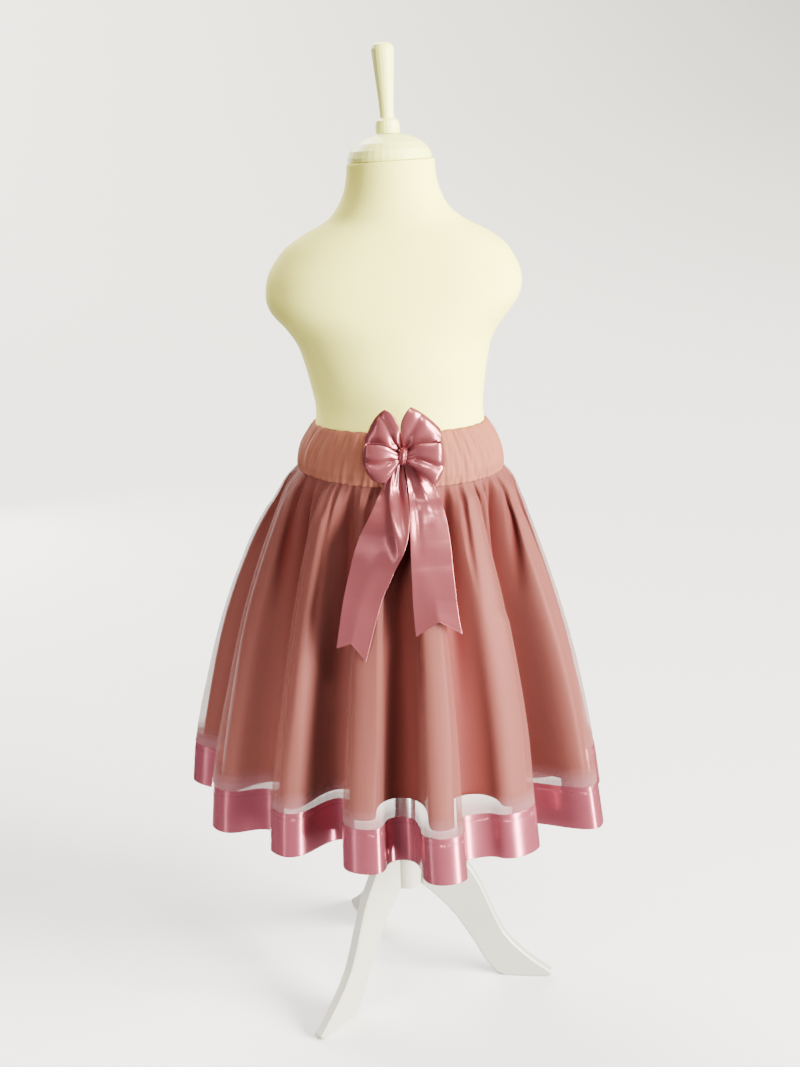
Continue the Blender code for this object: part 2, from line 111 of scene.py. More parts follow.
# folds round the hem: each crest and the valley after it, as an angle and a share of the
# outline's radius, how far the crest rides up, and how upright the walls are before and
# after it; notch is how deep the gathers cut in at the valley, and dark how much painted
# shade the valley gets in the cloth's colour; shaded and past say how closely that painted
# shade on the walls before and after the crest keeps to the valleys
FOLDS = table(
    "crest reach valley depth lift before after notch dark shaded past",
    (-70, 0.935, -54, 0.70, 0.000, 0.150, 0.130, 1.2, 0.35, 1.5, 1.5),
    (-38.5, 0.860, -27, 0.57, -0.001, 0.165, 0.125, 1.0, 0.30, 1.5, 1.5),
    (-10, 0.895, 0.5, 0.75, -0.002, 0.180, 0.130, 0.7, 0.80, 1.5, 1.5),
    (11, 1.030, 23, 0.82, -0.002, 0.165, 0.185, 1.1, 1.00, 1.0, 0.7),
    (38, 0.910, 56, 0.66, -0.001, 0.095, 0.180, 1.2, 0.85, 0.7, 1.5),
    (66, 1.015, 83, 0.79, -0.001, 0.100, 0.160, 0.9, 0.60, 0.8, 1.5),
    (98, 0.990, 112, 0.66, 0.006, 0.130, 0.150, 1.1, 0.70, 1.2, 1.5),
    (126, 0.940, 139, 0.60, 0.002, 0.120, 0.160, 0.8, 0.45, 1.5, 1.5),
    (152, 0.980, 164, 0.72, 0.004, 0.160, 0.120, 1.2, 0.70, 1.0, 1.5),
    (177, 0.920, 190, 0.62, 0.000, 0.130, 0.160, 0.9, 0.45, 1.5, 1.5),
    (204, 0.990, 217, 0.74, 0.003, 0.170, 0.130, 1.1, 0.75, 1.2, 1.5),
    (230, 0.940, 243, 0.66, 0.004, 0.120, 0.150, 0.8, 0.50, 1.5, 1.5),
    (256, 1.060, 269, 0.80, 0.012, 0.150, 0.130, 1.1, 0.60, 1.2, 1.5),
)
FOLD_COUNT = len(FOLDS)

# a gather's notch: how deep it is at a valley and at a crest, and its width in folds there
NOTCH_VALLEY = dict(depth=1.1, width=0.11)
NOTCH_CREST = dict(depth=0.25, width=0.10)

# creases in both layers: place in folds, lean down the skirt, depth (minus is a ridge),
# width in folds, and the stretch it runs, as shares of the way from seam to hem
CREASES = table(
    "place lean depth width start end",
    (0.20, 0.30, 0.0050, 0.060, 0.00, 0.34),
    (0.48, 0.00, -0.0022, 0.055, 0.05, 0.60),
    (0.74, 0.25, 0.0070, 0.060, 0.00, 0.40),
    (1.29, -0.50, 0.0060, 0.055, 0.00, 0.30),
    (1.52, 0.04, -0.0024, 0.060, 0.06, 0.78),
    (1.66, -0.06, 0.0030, 0.050, 0.00, 0.55),
    (2.35, -0.35, 0.0060, 0.060, 0.00, 0.36),
    (2.60, 0.02, -0.0024, 0.055, 0.08, 0.85),
    (2.80, -0.06, 0.0030, 0.060, 0.04, 0.50),
    (3.30, 0.08, 0.0032, 0.060, 0.10, 0.62),
    (3.62, 0.00, -0.0022, 0.060, 0.10, 0.88),
    (4.28, 0.30, 0.0052, 0.055, 0.00, 0.32),
    (4.61, 0.30, 0.0070, 0.050, 0.00, 0.34),
    (4.60, 0.02, -0.0026, 0.050, 0.34, 0.90),
    (4.80, 0.15, 0.0050, 0.050, 0.00, 0.26),
    (5.35, -0.40, 0.0070, 0.055, 0.00, 0.36),
    (5.58, 0.00, -0.0024, 0.055, 0.10, 0.85),
    (5.76, 0.10, 0.0044, 0.055, 0.00, 0.44),
    (6.26, 0.20, 0.0060, 0.060, 0.00, 0.40),
    (6.56, 0.00, -0.0022, 0.055, 0.08, 0.80),
    (6.74, -0.20, 0.0048, 0.060, 0.00, 0.32),
    (7.22, 0.30, 0.0066, 0.055, 0.00, 0.42),
    (7.50, -0.04, -0.0024, 0.060, 0.10, 0.74),
    (7.72, -0.10, 0.0040, 0.060, 0.00, 0.52),
    (8.28, 0.25, 0.0060, 0.055, 0.00, 0.34),
    (8.58, 0.02, -0.0022, 0.060, 0.12, 0.86),
    (8.78, -0.30, 0.0056, 0.060, 0.00, 0.30),
    (9.24, 0.15, 0.0050, 0.060, 0.00, 0.46),
    (9.54, 0.00, -0.0024, 0.055, 0.08, 0.78),
    (9.72, -0.25, 0.0064, 0.055, 0.00, 0.34),
    (10.26, 0.30, 0.0054, 0.060, 0.00, 0.40),
    (10.52, 0.02, -0.0022, 0.060, 0.10, 0.82),
    (10.76, -0.15, 0.0058, 0.055, 0.00, 0.36),
    (11.24, 0.35, 0.0062, 0.055, 0.00, 0.32),
    (11.56, -0.02, -0.0024, 0.055, 0.08, 0.84),
    (11.74, -0.20, 0.0046, 0.060, 0.00, 0.48),
    (12.26, 0.20, 0.0066, 0.055, 0.00, 0.38),
    (12.52, 0.00, -0.0022, 0.060, 0.10, 0.76),
    (12.76, -0.30, 0.0054, 0.060, 0.00, 0.34),
)

# the waist seam: how much higher it is pulled at the sides, less so at the front and back
# and towards +X, over a stretch of SEAM_FADE; and the fine puckers below it
SEAM_LIFT = 0.0085
SEAM_DIP = 0.0045
SEAM_TILT = 0.0025
SEAM_FADE = 0.060
PUCKER = 0.0005
PUCKERS = 96
PUCKER_FADE = 0.026
FORM_CLEARANCE = 0.0030

# depths at which a crease and a gather reach their full painted shade, that painted shade,
# and the share of a valley's painted shade at the waist seam, where the folds haven't opened
DEEP_CREASE = 0.0075
DEEP_GATHER = 0.0120
SHADE_IN_CREASES = 0.90
SHADE_IN_GATHERS = 0.55
SHADE_AT_SEAM = 0.35

# how much further the lining sinks in at the darkest valleys, how much longer it hangs at
# the crests than halfway to the valleys, the height below which it hangs longer, and by
# how much at places round the hem, counted in folds
LINING_SINK = 0.0060
LINING_CREST_DROP = 0.004
LINING_LEVEL = 0.45
LINING_DROPS = ((0.0, 0.012), (0.8, 0.012), (1.4, 0.006), (2.0, 0.010), (2.5, 0.002), (3.0, 0.000),
                (3.5, 0.003), (4.0, -0.002), (4.6, 0.006), (5.3, 0.006), (6.2, -0.003), (7.4, 0.004),
                (8.5, -0.003), (9.6, 0.003), (10.7, -0.002), (11.9, 0.004), (13.0, 0.003))
LINING_THICK = 0.0004

# the hem ribbon: how far it laps past the tulle's hem, and the groove of its stitching
HEM_LAP = 0.0004
HEM_THICK = 0.0005
STITCH_GROOVE = dict(depth=0.00012, width=0.0016)

# ---------------------------------------------------------------- waistband
BAND = table(
    "height wide deep shift forward",
    (0.6925, 0.0962, 0.0800, 0.0045, 0.001),
    (0.6720, 0.1085, 0.0915, 0.0045, 0.002),
    (0.6500, 0.1142, 0.0958, 0.0045, 0.003),
    (0.6338, 0.1150, 0.0955, 0.0040, 0.003),
)
BAND_LAP = 0.0012
BAND_SQUARE = 2.1
BAND_THICK = 0.0026
BAND_PUFF = 0.0006
BAND_PUCKER = 0.0006

# the band's top edge curls in and its bottom tucks under: depth and share of the height
BAND_CURL = dict(depth=0.0016, share=0.06)
BAND_TUCK = dict(depth=0.0012, share=0.20)
BAND_SCALLOP = dict(height=0.0003, count=37)

# fine ripples round the band: depth, count, lean and start
BAND_RIPPLES = table(
    "depth count lean start",
    (0.00022, 113, 3, 0),
    (0.00018, 71, -5, 1),
)

# gathers across the front of the band, and turned round at its back: angle at the bottom,
# how far it leans by the top, depth, width in degrees, and the stretch it runs, as shares
# of the way down
BAND_GATHERS = table(
    "angle lean depth width start end",
    (-84, 3, 0.0016, 2.55, 0.05, 0.95),
    (-77, 5, 0.0011, 1.95, 0.30, 1.00),
    (-71, 4, 0.0019, 2.70, 0.00, 1.00),
    (-63, 7, 0.0013, 2.10, 0.10, 0.90),
    (-57, 6, 0.0020, 2.85, 0.00, 1.00),
    (-49, 8, 0.0014, 2.25, 0.25, 1.00),
    (-43, 7, 0.0018, 2.55, 0.00, 0.85),
    (-36, 5, 0.0011, 1.95, 0.20, 1.00),
    (-30, 6, 0.0021, 2.85, 0.00, 1.00),
    (-23, 4, 0.0013, 2.25, 0.15, 1.00),
    (-16, 3, 0.0017, 2.40, 0.00, 0.90),
    (-8, 1, 0.0014, 2.25, 0.00, 1.00),
    (1, -1, 0.0012, 2.10, 0.10, 1.00),
    (9, -2, 0.0016, 2.40, 0.00, 1.00),
    (17, -3, 0.0012, 2.10, 0.20, 1.00),
    (24, -2, 0.0019, 2.70, 0.00, 1.00),
    (31, -5, 0.0012, 2.10, 0.30, 1.00),
    (37, -4, 0.0020, 2.70, 0.00, 0.90),
    (44, -7, 0.0014, 2.25, 0.05, 1.00),
    (51, -6, 0.0019, 2.55, 0.00, 1.00),
    (58, -8, 0.0013, 2.10, 0.20, 1.00),
    (65, -6, 0.0021, 2.85, 0.00, 1.00),
    (73, -5, 0.0012, 2.10, 0.15, 0.95),
    (80, -4, 0.0017, 2.55, 0.00, 1.00),
    (88, -2, 0.0014, 2.40, 0.00, 0.90),
)
BACK_SPREAD = 1.02

# ---------------------------------------------------------------- dress form
# sections from the bottom up; shift is towards +X, forward to the front
FORM = table(
    "height wide deep shift forward square",
    (0.5300, 0.0880, 0.0700, 0.0020, 0.003, 2.1),
    (0.5400, 0.0990, 0.0800, 0.0020, 0.003, 2.1),
    (0.5650, 0.1065, 0.0860, 0.0020, 0.003, 2.1),
    (0.6050, 0.1105, 0.0890, 0.0030, 0.003, 2.1),
    (0.6338, 0.1100, 0.0905, 0.0040, 0.003, 2.1),
    (0.6500, 0.1062, 0.0870, 0.0045, 0.003, 2.1),
    (0.6720, 0.0995, 0.0815, 0.0045, 0.002, 2.1),
    (0.6925, 0.0935, 0.0770, 0.0045, 0.001, 2.1),
    (0.7090, 0.0925, 0.0762, 0.0042, 0.000, 2.1),
    (0.7310, 0.0953, 0.0785, 0.0030, 0.000, 2.1),
    (0.7580, 0.1003, 0.0815, 0.0015, 0.000, 2.1),
    (0.7800, 0.1068, 0.0830, 0.0000, -0.001, 2.1),
    (0.7970, 0.1172, 0.0830, -0.0015, -0.002, 2.2),
    (0.8110, 0.1290, 0.0815, -0.0025, -0.003, 2.3),
    (0.8235, 0.1363, 0.0790, -0.0010, -0.004, 2.4),
    (0.8380, 0.1388, 0.0755, 0.0010, -0.005, 2.4),
    (0.8520, 0.1370, 0.0715, 0.0020, -0.006, 2.4),
    (0.8680, 0.1292, 0.0665, 0.0032, -0.007, 2.3),
    (0.8830, 0.1170, 0.0610, 0.0045, -0.008, 2.2),
    (0.8960, 0.0975, 0.0555, 0.0052, -0.009, 2.1),
    (0.9080, 0.0750, 0.0510, 0.0045, -0.009, 2.0),
    (0.9210, 0.0610, 0.0478, 0.0022, -0.008, 2.0),
    (0.9370, 0.0525, 0.0455, 0.0015, -0.007, 2.0),
    (0.9530, 0.0482, 0.0445, 0.0008, -0.006, 2.0),
    (0.9695, 0.0468, 0.0445, 0.0008, -0.006, 2.0),
)
NECK_TILT = math.radians(-2.5)
NECK_STRETCH = 0.03
CAP_RINGS = (0.02, 0.5, 0.93, 0.985)    # rings that close an end, as shares of its rim

# ---------------------------------------------------------------- bow
KNOT_HEIGHT = 0.6735
KNOT_X = 0.0066
KNOT_Y = -0.1090
KNOT_HALF = (0.0062, 0.0115, 0.0095)
KNOT_BACK = 1.35
KNOT_SLANT = 0.10
KNOT_WAIST = 0.10
KNOT_WIDER = 1.08
KNOT_PLEATS = table(
    "turn depth width",
    (0.5, 0.10, 0.22),
    (5.9, 0.08, 0.16),
)
RIBBON_THICK = 0.0004
RIBBON_WIDTH = 0.050

# every loop: how much less it swells at its edges, its pleats at the knot, the width of
# its trough as a share of half its own, how far its ends part, and the ribbon in its turn
LOOP_FLATTER = 0.45
LOOP_PLEATS = dict(depth=0.0010, count=8.0, start=0.6)
LOOP_TROUGH = 0.22
LOOP_PARTING = 0.0012
LOOP_TURN = 0.004

# loops: distance in front of the knot's middle, how far the front layer swells, the share of
# that by which the back layer swells, how much further the second edge stands forward, how
# far the outer fold bows, the trough along it (its share across and its depth), length and
# width; ribs run from the knot to the outer fold, each with the share of the way and the
# places of both edges, to the right and up from the knot
LOOPS = [
    dict(name="bow_loop_upper_left", out=-0.0062, swell=0.0100, back=0.30, turned=0.0030, bow=0.003,
         trough=0.45, crease=0.0024, length=0.049, width=0.038,
         ribs=((0.00, -0.0042, 0.0022, -0.0010, 0.0065), (0.30, -0.0229, 0.0043, -0.0031, 0.0173),
               (0.60, -0.0374, 0.0108, -0.0042, 0.0324), (0.85, -0.0385, 0.0194, -0.0114, 0.0443),
               (1.00, -0.0364, 0.0227, -0.0177, 0.0486))),
    dict(name="bow_loop_upper_right", out=-0.0062, swell=0.0105, back=0.30, turned=-0.0030, bow=0.002,
         trough=-0.35, crease=0.0022, length=0.051, width=0.042,
         ribs=((0.00, -0.0010, 0.0065, 0.0042, 0.0022), (0.30, -0.0021, 0.0194, 0.0208, 0.0043),
               (0.60, -0.0010, 0.0346, 0.0343, 0.0097), (0.85, 0.0052, 0.0464, 0.0406, 0.0184),
               (1.00, 0.0094, 0.0508, 0.0395, 0.0259))),
    dict(name="bow_loop_side_left", out=0.0066, swell=0.0112, back=1.00, turned=-0.0020, bow=0.004,
         trough=0.02, crease=0.0062, length=0.042, width=0.040,
         ribs=((0.00, -0.0052, 0.0043, -0.0042, -0.0054), (0.30, -0.0177, 0.0130, -0.0125, -0.0184),
               (0.60, -0.0291, 0.0151, -0.0208, -0.0259), (0.85, -0.0374, 0.0151, -0.0312, -0.0238),
               (1.00, -0.0395, 0.0130, -0.0364, -0.0194))),
    dict(name="bow_loop_side_right", out=0.0066, swell=0.0108, back=0.95, turned=0.0015, bow=0.004,
         trough=0.12, crease=0.0052, length=0.043, width=0.041,
         ribs=((0.00, 0.0052, 0.0043, 0.0042, -0.0054), (0.30, 0.0166, 0.0140, 0.0146, -0.0130),
               (0.60, 0.0291, 0.0151, 0.0250, -0.0216), (0.85, 0.0385, 0.0146, 0.0322, -0.0281),
               (1.00, 0.0406, 0.0119, 0.0374, -0.0238))),
]

# every tail: its clearance, how far round it looks for folds, where on the way down its
# cut starts, and how far it starts behind the knot's middle and may fall away below it
TAIL_CLEARANCE = 0.0036
TAIL_REACH = 0.018
TAIL_CUT = 0.75
TAIL_TUCK = 0.004
TAIL_FALL = 0.5
BAND_FRONT = -max(row["deep"] for row in BAND) - WAIST_FORWARD - 0.0009

# tails from the knot down: left and right edge seen from the front, how much further
# forward the right edge stands than the left, and height; how far the corners and the
# notch of the cut hang below the last row; and a fold across the right one
TAIL_COLUMNS = "left right turned height"
TAIL_LEFT = table(
    TAIL_COLUMNS,
    (-0.0020, 0.0068, 0.0000, 0.6643),
    (-0.0145, 0.0090, 0.0040, 0.6420),
    (-0.0265, 0.0120, 0.0100, 0.6180),
    (-0.0425, 0.0085, 0.0130, 0.5880),
    (-0.0530, -0.0070, 0.0050, 0.5530),
    (-0.0620, -0.0240, -0.0020, 0.5150),
    (-0.0680, -0.0370, -0.0030, 0.4830),
)
TAIL_LEFT_END = (0.0070, 0.0010, 0.0200)
TAIL_RIGHT = table(
    TAIL_COLUMNS,
    (0.0072, 0.0200, 0.0000, 0.6643),
    (0.0110, 0.0370, -0.0050, 0.6420),
    (0.0125, 0.0480, -0.0060, 0.6180),
    (0.0122, 0.0538, -0.0070, 0.5880),
    (0.0128, 0.0568, -0.0040, 0.5530),
    (0.0145, 0.0615, 0.0020, 0.5150),
    (0.0158, 0.0640, 0.0030, 0.5030),
)
TAIL_RIGHT_END = (0.0110, -0.0050, 0.0090)
TAIL_RIGHT_FOLD = dict(way=0.62, depth=0.0006, width=0.030)

# troughs in the tails: share across, lean down the tail, depth (minus is a ridge), width
# as a share of the tail's, and the stretch it runs
TROUGH_COLUMNS = "across lean depth width start end"
TAIL_LEFT_TROUGHS = table(
    TROUGH_COLUMNS,
    (0.16, 1.70, -0.0044, 0.13, 0.04, 0.62),
    (0.62, 0.60, 0.0034, 0.12, 0.00, 0.42),
    (0.55, -0.30, -0.0010, 0.22, 0.45, 1.00),
)
TAIL_RIGHT_TROUGHS = table(
    TROUGH_COLUMNS,
    (0.50, 0.45, -0.0030, 0.20, 0.02, 0.50),
    (0.16, 0.10, 0.0018, 0.12, 0.05, 0.65),
    (0.30, 0.25, -0.0010, 0.22, 0.60, 1.00),
)

# ---------------------------------------------------------------- finishes
LINING_WEAVE = 0.0005
KNIT_ACROSS = 0.0006
KNIT_DOWN = 0.0008
STITCH_HALF = 0.0005
STITCH_ROW = 0.0011
STITCH_SHARE = 0.68
BAND_STITCH = 0.052
BAND_STITCH_FADE = 0.006

# ---------------------------------------------------------------- stage
SUNS = table(
    "name turn rise spread strength colour",
    ("sky_right", 68, 20, 30, 18.5, (1.0, 0.97, 0.84)),
    ("sky_back", 205, 38, 40, 7.5, (1.0, 0.97, 0.92)),
    ("sky_left", -62, 52, 40, 0.3, (1.0, 0.74, 0.50)),
)
WINDOWS = table(
    "name turn away height aim wide tall power beam mirrored",
    ("window_right", 50, 2.6, 0.30, 0.30, 0.24, 2.8, 270.0, 180, True),
    ("window_left", -48, 2.8, 0.30, 0.30, 0.16, 2.6, 12.0, 180, True),
    ("window_top", 22, 1.5, 2.05, 0.65, 0.70, 0.30, 32.0, 180, True),
    ("window_high", -24, 1.3, 2.25, 0.67, 0.50, 0.24, 4.0, 180, True),
    ("window_back", 214, 2.7, 0.30, 0.30, 0.24, 2.8, 70.0, 180, True),
    ("fill_left", -42, 1.3, 0.10, 0.22, 0.40, 0.40, 4.2, 60, False),
)
WORLD_COLOUR = (1.0, 0.86, 0.78, 1.0)
WORLD_STRENGTH = 0.20

# the floor and the wall it curves up into: reach from its middle, and height
FLOOR_PROFILE = ((2.0, 0.0), (5.0, 0.0), (6.5, 0.3), (7.8, 1.2), (8.6, 2.6), (9.0, 5.0), (9.0, 9.0))
FLOOR_STEPS = 96
FLOOR_COLOUR = (0.90, 0.90, 0.90)


# ---------------------------------------------------------------- sizes and colours to change
class SkirtSizes(bpy.types.PropertyGroup):
    fold_columns: bpy.props.IntProperty(
        name="Columns per fold", description="How finely each fold is drawn", default=44, min=12)
    skirt_rows: bpy.props.IntProperty(
        name="Rows", description="Rows from the waist seam to the hem", default=110, min=30)
    net_spacing: bpy.props.FloatProperty(
        name="Net spacing", description="Distance between the net's threads",
        default=0.0011, subtype="DISTANCE", unit="LENGTH")
    ribbon_lift: bpy.props.FloatProperty(
        name="Ribbon lift", description="How far the hem ribbon stands off the tulle",
        default=0.0007, subtype="DISTANCE", unit="LENGTH")
    stitch_inset: bpy.props.FloatProperty(
        name="Stitch inset", description="Distance of the stitching from the ribbon's top edge",
        default=0.0065, subtype="DISTANCE", unit="LENGTH")
    stitch_length: bpy.props.FloatProperty(
        name="Stitch length", description="Length of one stitch and the gap after it",
        default=0.0030, subtype="DISTANCE", unit="LENGTH")


def colour_property(name, description, default):
    return bpy.props.FloatVectorProperty(
        name=name, description=description, default=default, subtype="COLOR", size=3, min=0, max=1)


class SkirtColours(bpy.types.PropertyGroup):
    tulle: colour_property("Tulle", "Colour of the sheer outer layer", (0.225, 0.072, 0.059))
    lining: colour_property("Lining", "Colour of the satin lining", (0.150, 0.041, 0.030))
    ribbon: colour_property("Ribbon", "Colour of the bow's satin ribbon", (0.31, 0.078, 0.090))
    # the hem's ribbon is the bow's satin given a cooler, more purple colour as painted light, standing in
    # for cooler light low on the skirt
    hem: colour_property("Hem", "Colour of the hem's satin ribbon", (0.37, 0.086, 0.118))
    band: colour_property("Waistband", "Colour of the gathered waistband", (0.24, 0.080, 0.050))
    jersey: colour_property("Jersey", "Colour of the form's cover", (0.94, 0.89, 0.20))
    paint: colour_property("Paint", "Colour of the painted wood", (0.92, 0.93, 0.26))
    # the legs and the hub have the same off-white paint as the cap and the finial; this darker, greyer
    # colour is painted shade, for the skirt's shadow over them
    legs: colour_property("Legs", "Colour of the legs' and the hub's paint", (0.42, 0.41, 0.33))


# ---------------------------------------------------------------- shader helpers
class Number:
    """A number socket of a material that can be used in arithmetic."""

    def __init__(self, recipe, socket):
        self.recipe = recipe
        self.socket = socket

    def math(self, operation, *inputs):
        return self.recipe.number("ShaderNodeMath", dict(operation=operation), dict(enumerate(inputs)))

    def __add__(self, other):
        return self.math("ADD", self, other)

    __radd__ = __add__

    def __sub__(self, other):
        return self.math("SUBTRACT", self, other)

    def __rsub__(self, other):
        return self.math("SUBTRACT", other, self)

    def __mul__(self, other):
        return self.math("MULTIPLY", self, other)

    __rmul__ = __mul__

    def __truediv__(self, other):
        return self.math("DIVIDE", self, other)

    def __pow__(self, other):
        return self.math("POWER", self, other)

    def __lt__(self, other):
        return self.math("LESS_THAN", self, other)

    def sine(self):
        return self.math("SINE", self)

    def size(self):
        return self.math("ABSOLUTE", self)

    def fraction(self):
        return self.math("FRACT", self)

    def larger(self, other):
        return self.math("MAXIMUM", self, other)

    def clamped(self):
        return self.recipe.number("ShaderNodeClamp", {}, {0: self})


class Recipe:
    """A material and the nodes that make it."""

    def __init__(self, name, colour, roughness, **constants):
        self.material = bpy.data.materials.new(f"finish_{name}")
        self.material.use_nodes = True
        self.tree = self.material.node_tree
        self.shader = self.tree.nodes["Principled BSDF"]
        self.colour = (*colour, 1.0)
        self.feed(self.shader, {"Base Color": self.colour, "Roughness": roughness, **constants})

    def feed(self, node, inputs):
        for key, value in inputs.items():
            if isinstance(value, Number):
                value = value.socket
            if isinstance(value, bpy.types.NodeSocket):
                self.tree.links.new(value, node.inputs[key])
            else:
                node.inputs[key].default_value = value

    def node(self, kind, settings, inputs):
        """Adds a node: its settings first, then the values or links of its sockets."""
        node = self.tree.nodes.new(kind)
        for key, value in settings.items():
            setattr(node, key, value)
        self.feed(node, inputs)
        return node

    def number(self, kind, settings, inputs):
        return Number(self, self.node(kind, settings, inputs).outputs[0])

    def map_place(self, title):
        place = self.node("ShaderNodeUVMap", dict(uv_map=title), {})
        parts = self.node("ShaderNodeSeparateXYZ", {}, {0: place.outputs["UV"]})
        return Number(self, parts.outputs[0]), Number(self, parts.outputs[1])

    def cloth_place(self):
        """Distances round and down the cloth, in metres, as two numbers."""
        return self.map_place("cloth")

    def painted_shade_map(self):
        """How much painted shade a place gets, and the share of the way down, as two numbers."""
        return self.map_place("valley")

    def object_place(self):
        return self.node("ShaderNodeTexCoord", {}, {}).outputs["Object"]

    def vector(self, x, y):
        return self.node("ShaderNodeCombineXYZ", {}, {0: x, 1: y}).outputs[0]

    def noise(self, place, scale, detail=2.0):
        return self.number("ShaderNodeTexNoise", {}, {"Vector": place, "Scale": scale, "Detail": detail})

    def blend(self, share, first, second):
        """A colour between two colours."""
        mixed = self.node("ShaderNodeMix", dict(data_type="RGBA"), {0: share, 6: first, 7: second})
        return mixed.outputs[2]

    def shade(self, factor):
        """The recipe's colour made lighter or darker by a factor."""
        return self.tinted(factor, factor, factor)

    def tinted(self, red, green, blue):
        """The recipe's colour with each of its parts multiplied by a factor."""
        return tuple(min(1.0, part * factor)
                     for part, factor in zip(self.colour[:3], (red, green, blue))) + (1.0,)

    def bump(self, height, depth):
        raised = self.node("ShaderNodeBump", {}, {"Height": height, "Distance": depth})
        self.feed(self.shader, {"Normal": raised.outputs[0]})

    def set(self, **inputs):
        self.feed(self.shader, {name.replace("_", " "): value for name, value in inputs.items()})


# ---------------------------------------------------------------- finishes
def tulle_finish(colours, sizes):
    """Sheer net: fine crossing threads with open cells, denser towards the ribbon, with painted shade that
    darkens and reddens it in the valleys, creases and gathers.
    """
    recipe = Recipe("tulle_net", colours.tulle, 0.75, **{"Specular IOR Level": 0.15})
    around, down = recipe.cloth_place()
    valley, share = recipe.painted_shade_map()
    turn = math.pi / sizes.net_spacing
    first = ((around + down) * turn).sine().size()
    second = ((around - down) * turn).sine().size()
    thread = first.larger(second) ** 6.0
    cloud = recipe.noise(recipe.vector(around * 9.0, down * 2.0), 1.0, detail=3.0)
    streak = recipe.noise(recipe.vector(around * 160.0, down * 2.5), 1.0)
    hem = (share * 22.0 - 18.0).clamped()
    top = (1.0 - share * 3.2).clamped()
    cover = 0.40 + thread * 0.20 + (cloud - 0.5) * 0.10 + (streak - 0.5) * 0.14 * (1.0 - top)
    # painted shade also thins the net where it is shaded, so more of the darker lining shows through
    cover = cover * (1.0 - valley * 0.25) + hem * 0.40 + top * 0.12
    # painted shade: the net's colour goes darker and redder in the valleys, creases and gathers
    colour = recipe.blend(valley * 0.9, recipe.shade(1.0), recipe.tinted(0.52, 0.20, 0.20))
    recipe.set(Alpha=cover.clamped(), Base_Color=recipe.blend(hem, colour, recipe.tinted(0.80, 0.95, 1.25)))
    recipe.bump(thread, 0.00008)


def lining_finish(colours):
    """Soft satin with fine lengthwise lines, and painted shade that darkens and reddens it in the valleys,
    creases and gathers.
    """
    recipe = Recipe("lining_satin", colours.lining, 0.42, **{"Specular IOR Level": 0.30, "Metallic": 0.40})
    around, down = recipe.cloth_place()
    valley, _ = recipe.painted_shade_map()
    line = recipe.noise(recipe.vector(around * 420.0, down * 6.0), 1.0, detail=3.0)
    cloud = recipe.noise(recipe.vector(around * 14.0, down * 5.0), 1.0, detail=3.0)
    weave = (around * (math.pi / LINING_WEAVE)).sine() * (down * (math.pi / LINING_WEAVE)).sine()
    colour = recipe.blend(line * 0.5 + cloud * 0.5, recipe.shade(0.86), recipe.shade(1.14))
    # painted shade: the satin's colour goes darker and redder in the valleys, creases and gathers
    recipe.set(Base_Color=recipe.blend(valley * 0.95, colour, recipe.tinted(0.62, 0.18, 0.20)),
               Roughness=0.40 + cloud * 0.14)
    recipe.bump(line * 0.6 + weave * 0.15, 0.00012)


def ribbon_finish(name, colour, sizes, gloss, stitched=False):
    """Glossy satin ribbon; the hem's has a line of stitching below its top edge."""
    recipe = Recipe(name, colour, 0.26, **{"Specular IOR Level": 0.6, "Metallic": 0.68})
    around, down = recipe.cloth_place()
    line = recipe.noise(recipe.vector(around * 30.0, down * 900.0), 1.0)
    cloud = recipe.noise(recipe.vector(around * 25.0, down * 25.0), 1.0, detail=3.0)
    colour = recipe.blend(line * 0.4 + cloud * 0.6, recipe.shade(0.88), recipe.shade(1.12))
    height = line * 0.5
    if stitched:
        away = (down - sizes.stitch_inset).size()
        stitch = (away < STITCH_HALF) * ((around / sizes.stitch_length).fraction() < STITCH_SHARE)
        colour = recipe.blend(stitch * 0.55, colour, recipe.shade(0.62))
        height = height + stitch * 0.7 - (away < STITCH_ROW) * 0.6
    recipe.set(Base_Color=colour, Roughness=gloss + cloud * 0.10)
    recipe.bump(height, 0.00010)


def band_finish(colours):
    """Several layers of gathered net over elastic, stitched above the seam."""
    recipe = Recipe("band_tulle", colours.band, 0.85, **{"Specular IOR Level": 0.15})
    around, down = recipe.cloth_place()
    streak = recipe.noise(recipe.vector(around * 210.0, down * 9.0), 1.0, detail=3.0)
    wide = recipe.noise(recipe.vector(around * 60.0, down * 5.0), 1.0)
    seam = (1.0 - (down - BAND_STITCH).size() / BAND_STITCH_FADE).clamped()
    tone = (streak * 0.55 + wide * 0.45 - seam * 0.22).clamped()
    recipe.set(Base_Color=recipe.blend(tone, recipe.shade(0.80), recipe.shade(1.24)))
    recipe.bump(streak * 0.6 + wide * 0.4, 0.0006)


def jersey_finish(colours):
    """Fine knit stretched over the form."""
    recipe = Recipe("form_jersey", colours.jersey, 0.78, **{"Specular IOR Level": 0.2})
    around, down = recipe.cloth_place()
    knit = (around * (math.pi / KNIT_ACROSS)).sine() * (down * (math.pi / KNIT_DOWN)).sine()
    cloud = recipe.noise(recipe.object_place(), 7.0, detail=3.0)
    fine = recipe.noise(recipe.object_place(), 420.0)
    recipe.set(Base_Color=recipe.blend(cloud * 0.8 + fine * 0.2, recipe.shade(0.95), recipe.shade(1.04)))
    recipe.bump(knit * 0.4 + fine, 0.00012)


def paint_finish(name, colour):
    """Brushed off-white paint over wood, a little worn."""
    recipe = Recipe(name, colour, 0.36, **{"Specular IOR Level": 0.5})
    grain = recipe.noise(recipe.object_place(), 60.0, detail=4.0)
    broad = recipe.noise(recipe.object_place(), 9.0)
    recipe.set(Base_Color=recipe.blend(broad * 0.7 + grain * 0.3, recipe.shade(0.94), recipe.shade(1.05)),
               Roughness=0.28 + grain * 0.18)
    recipe.bump(grain, 0.0002)


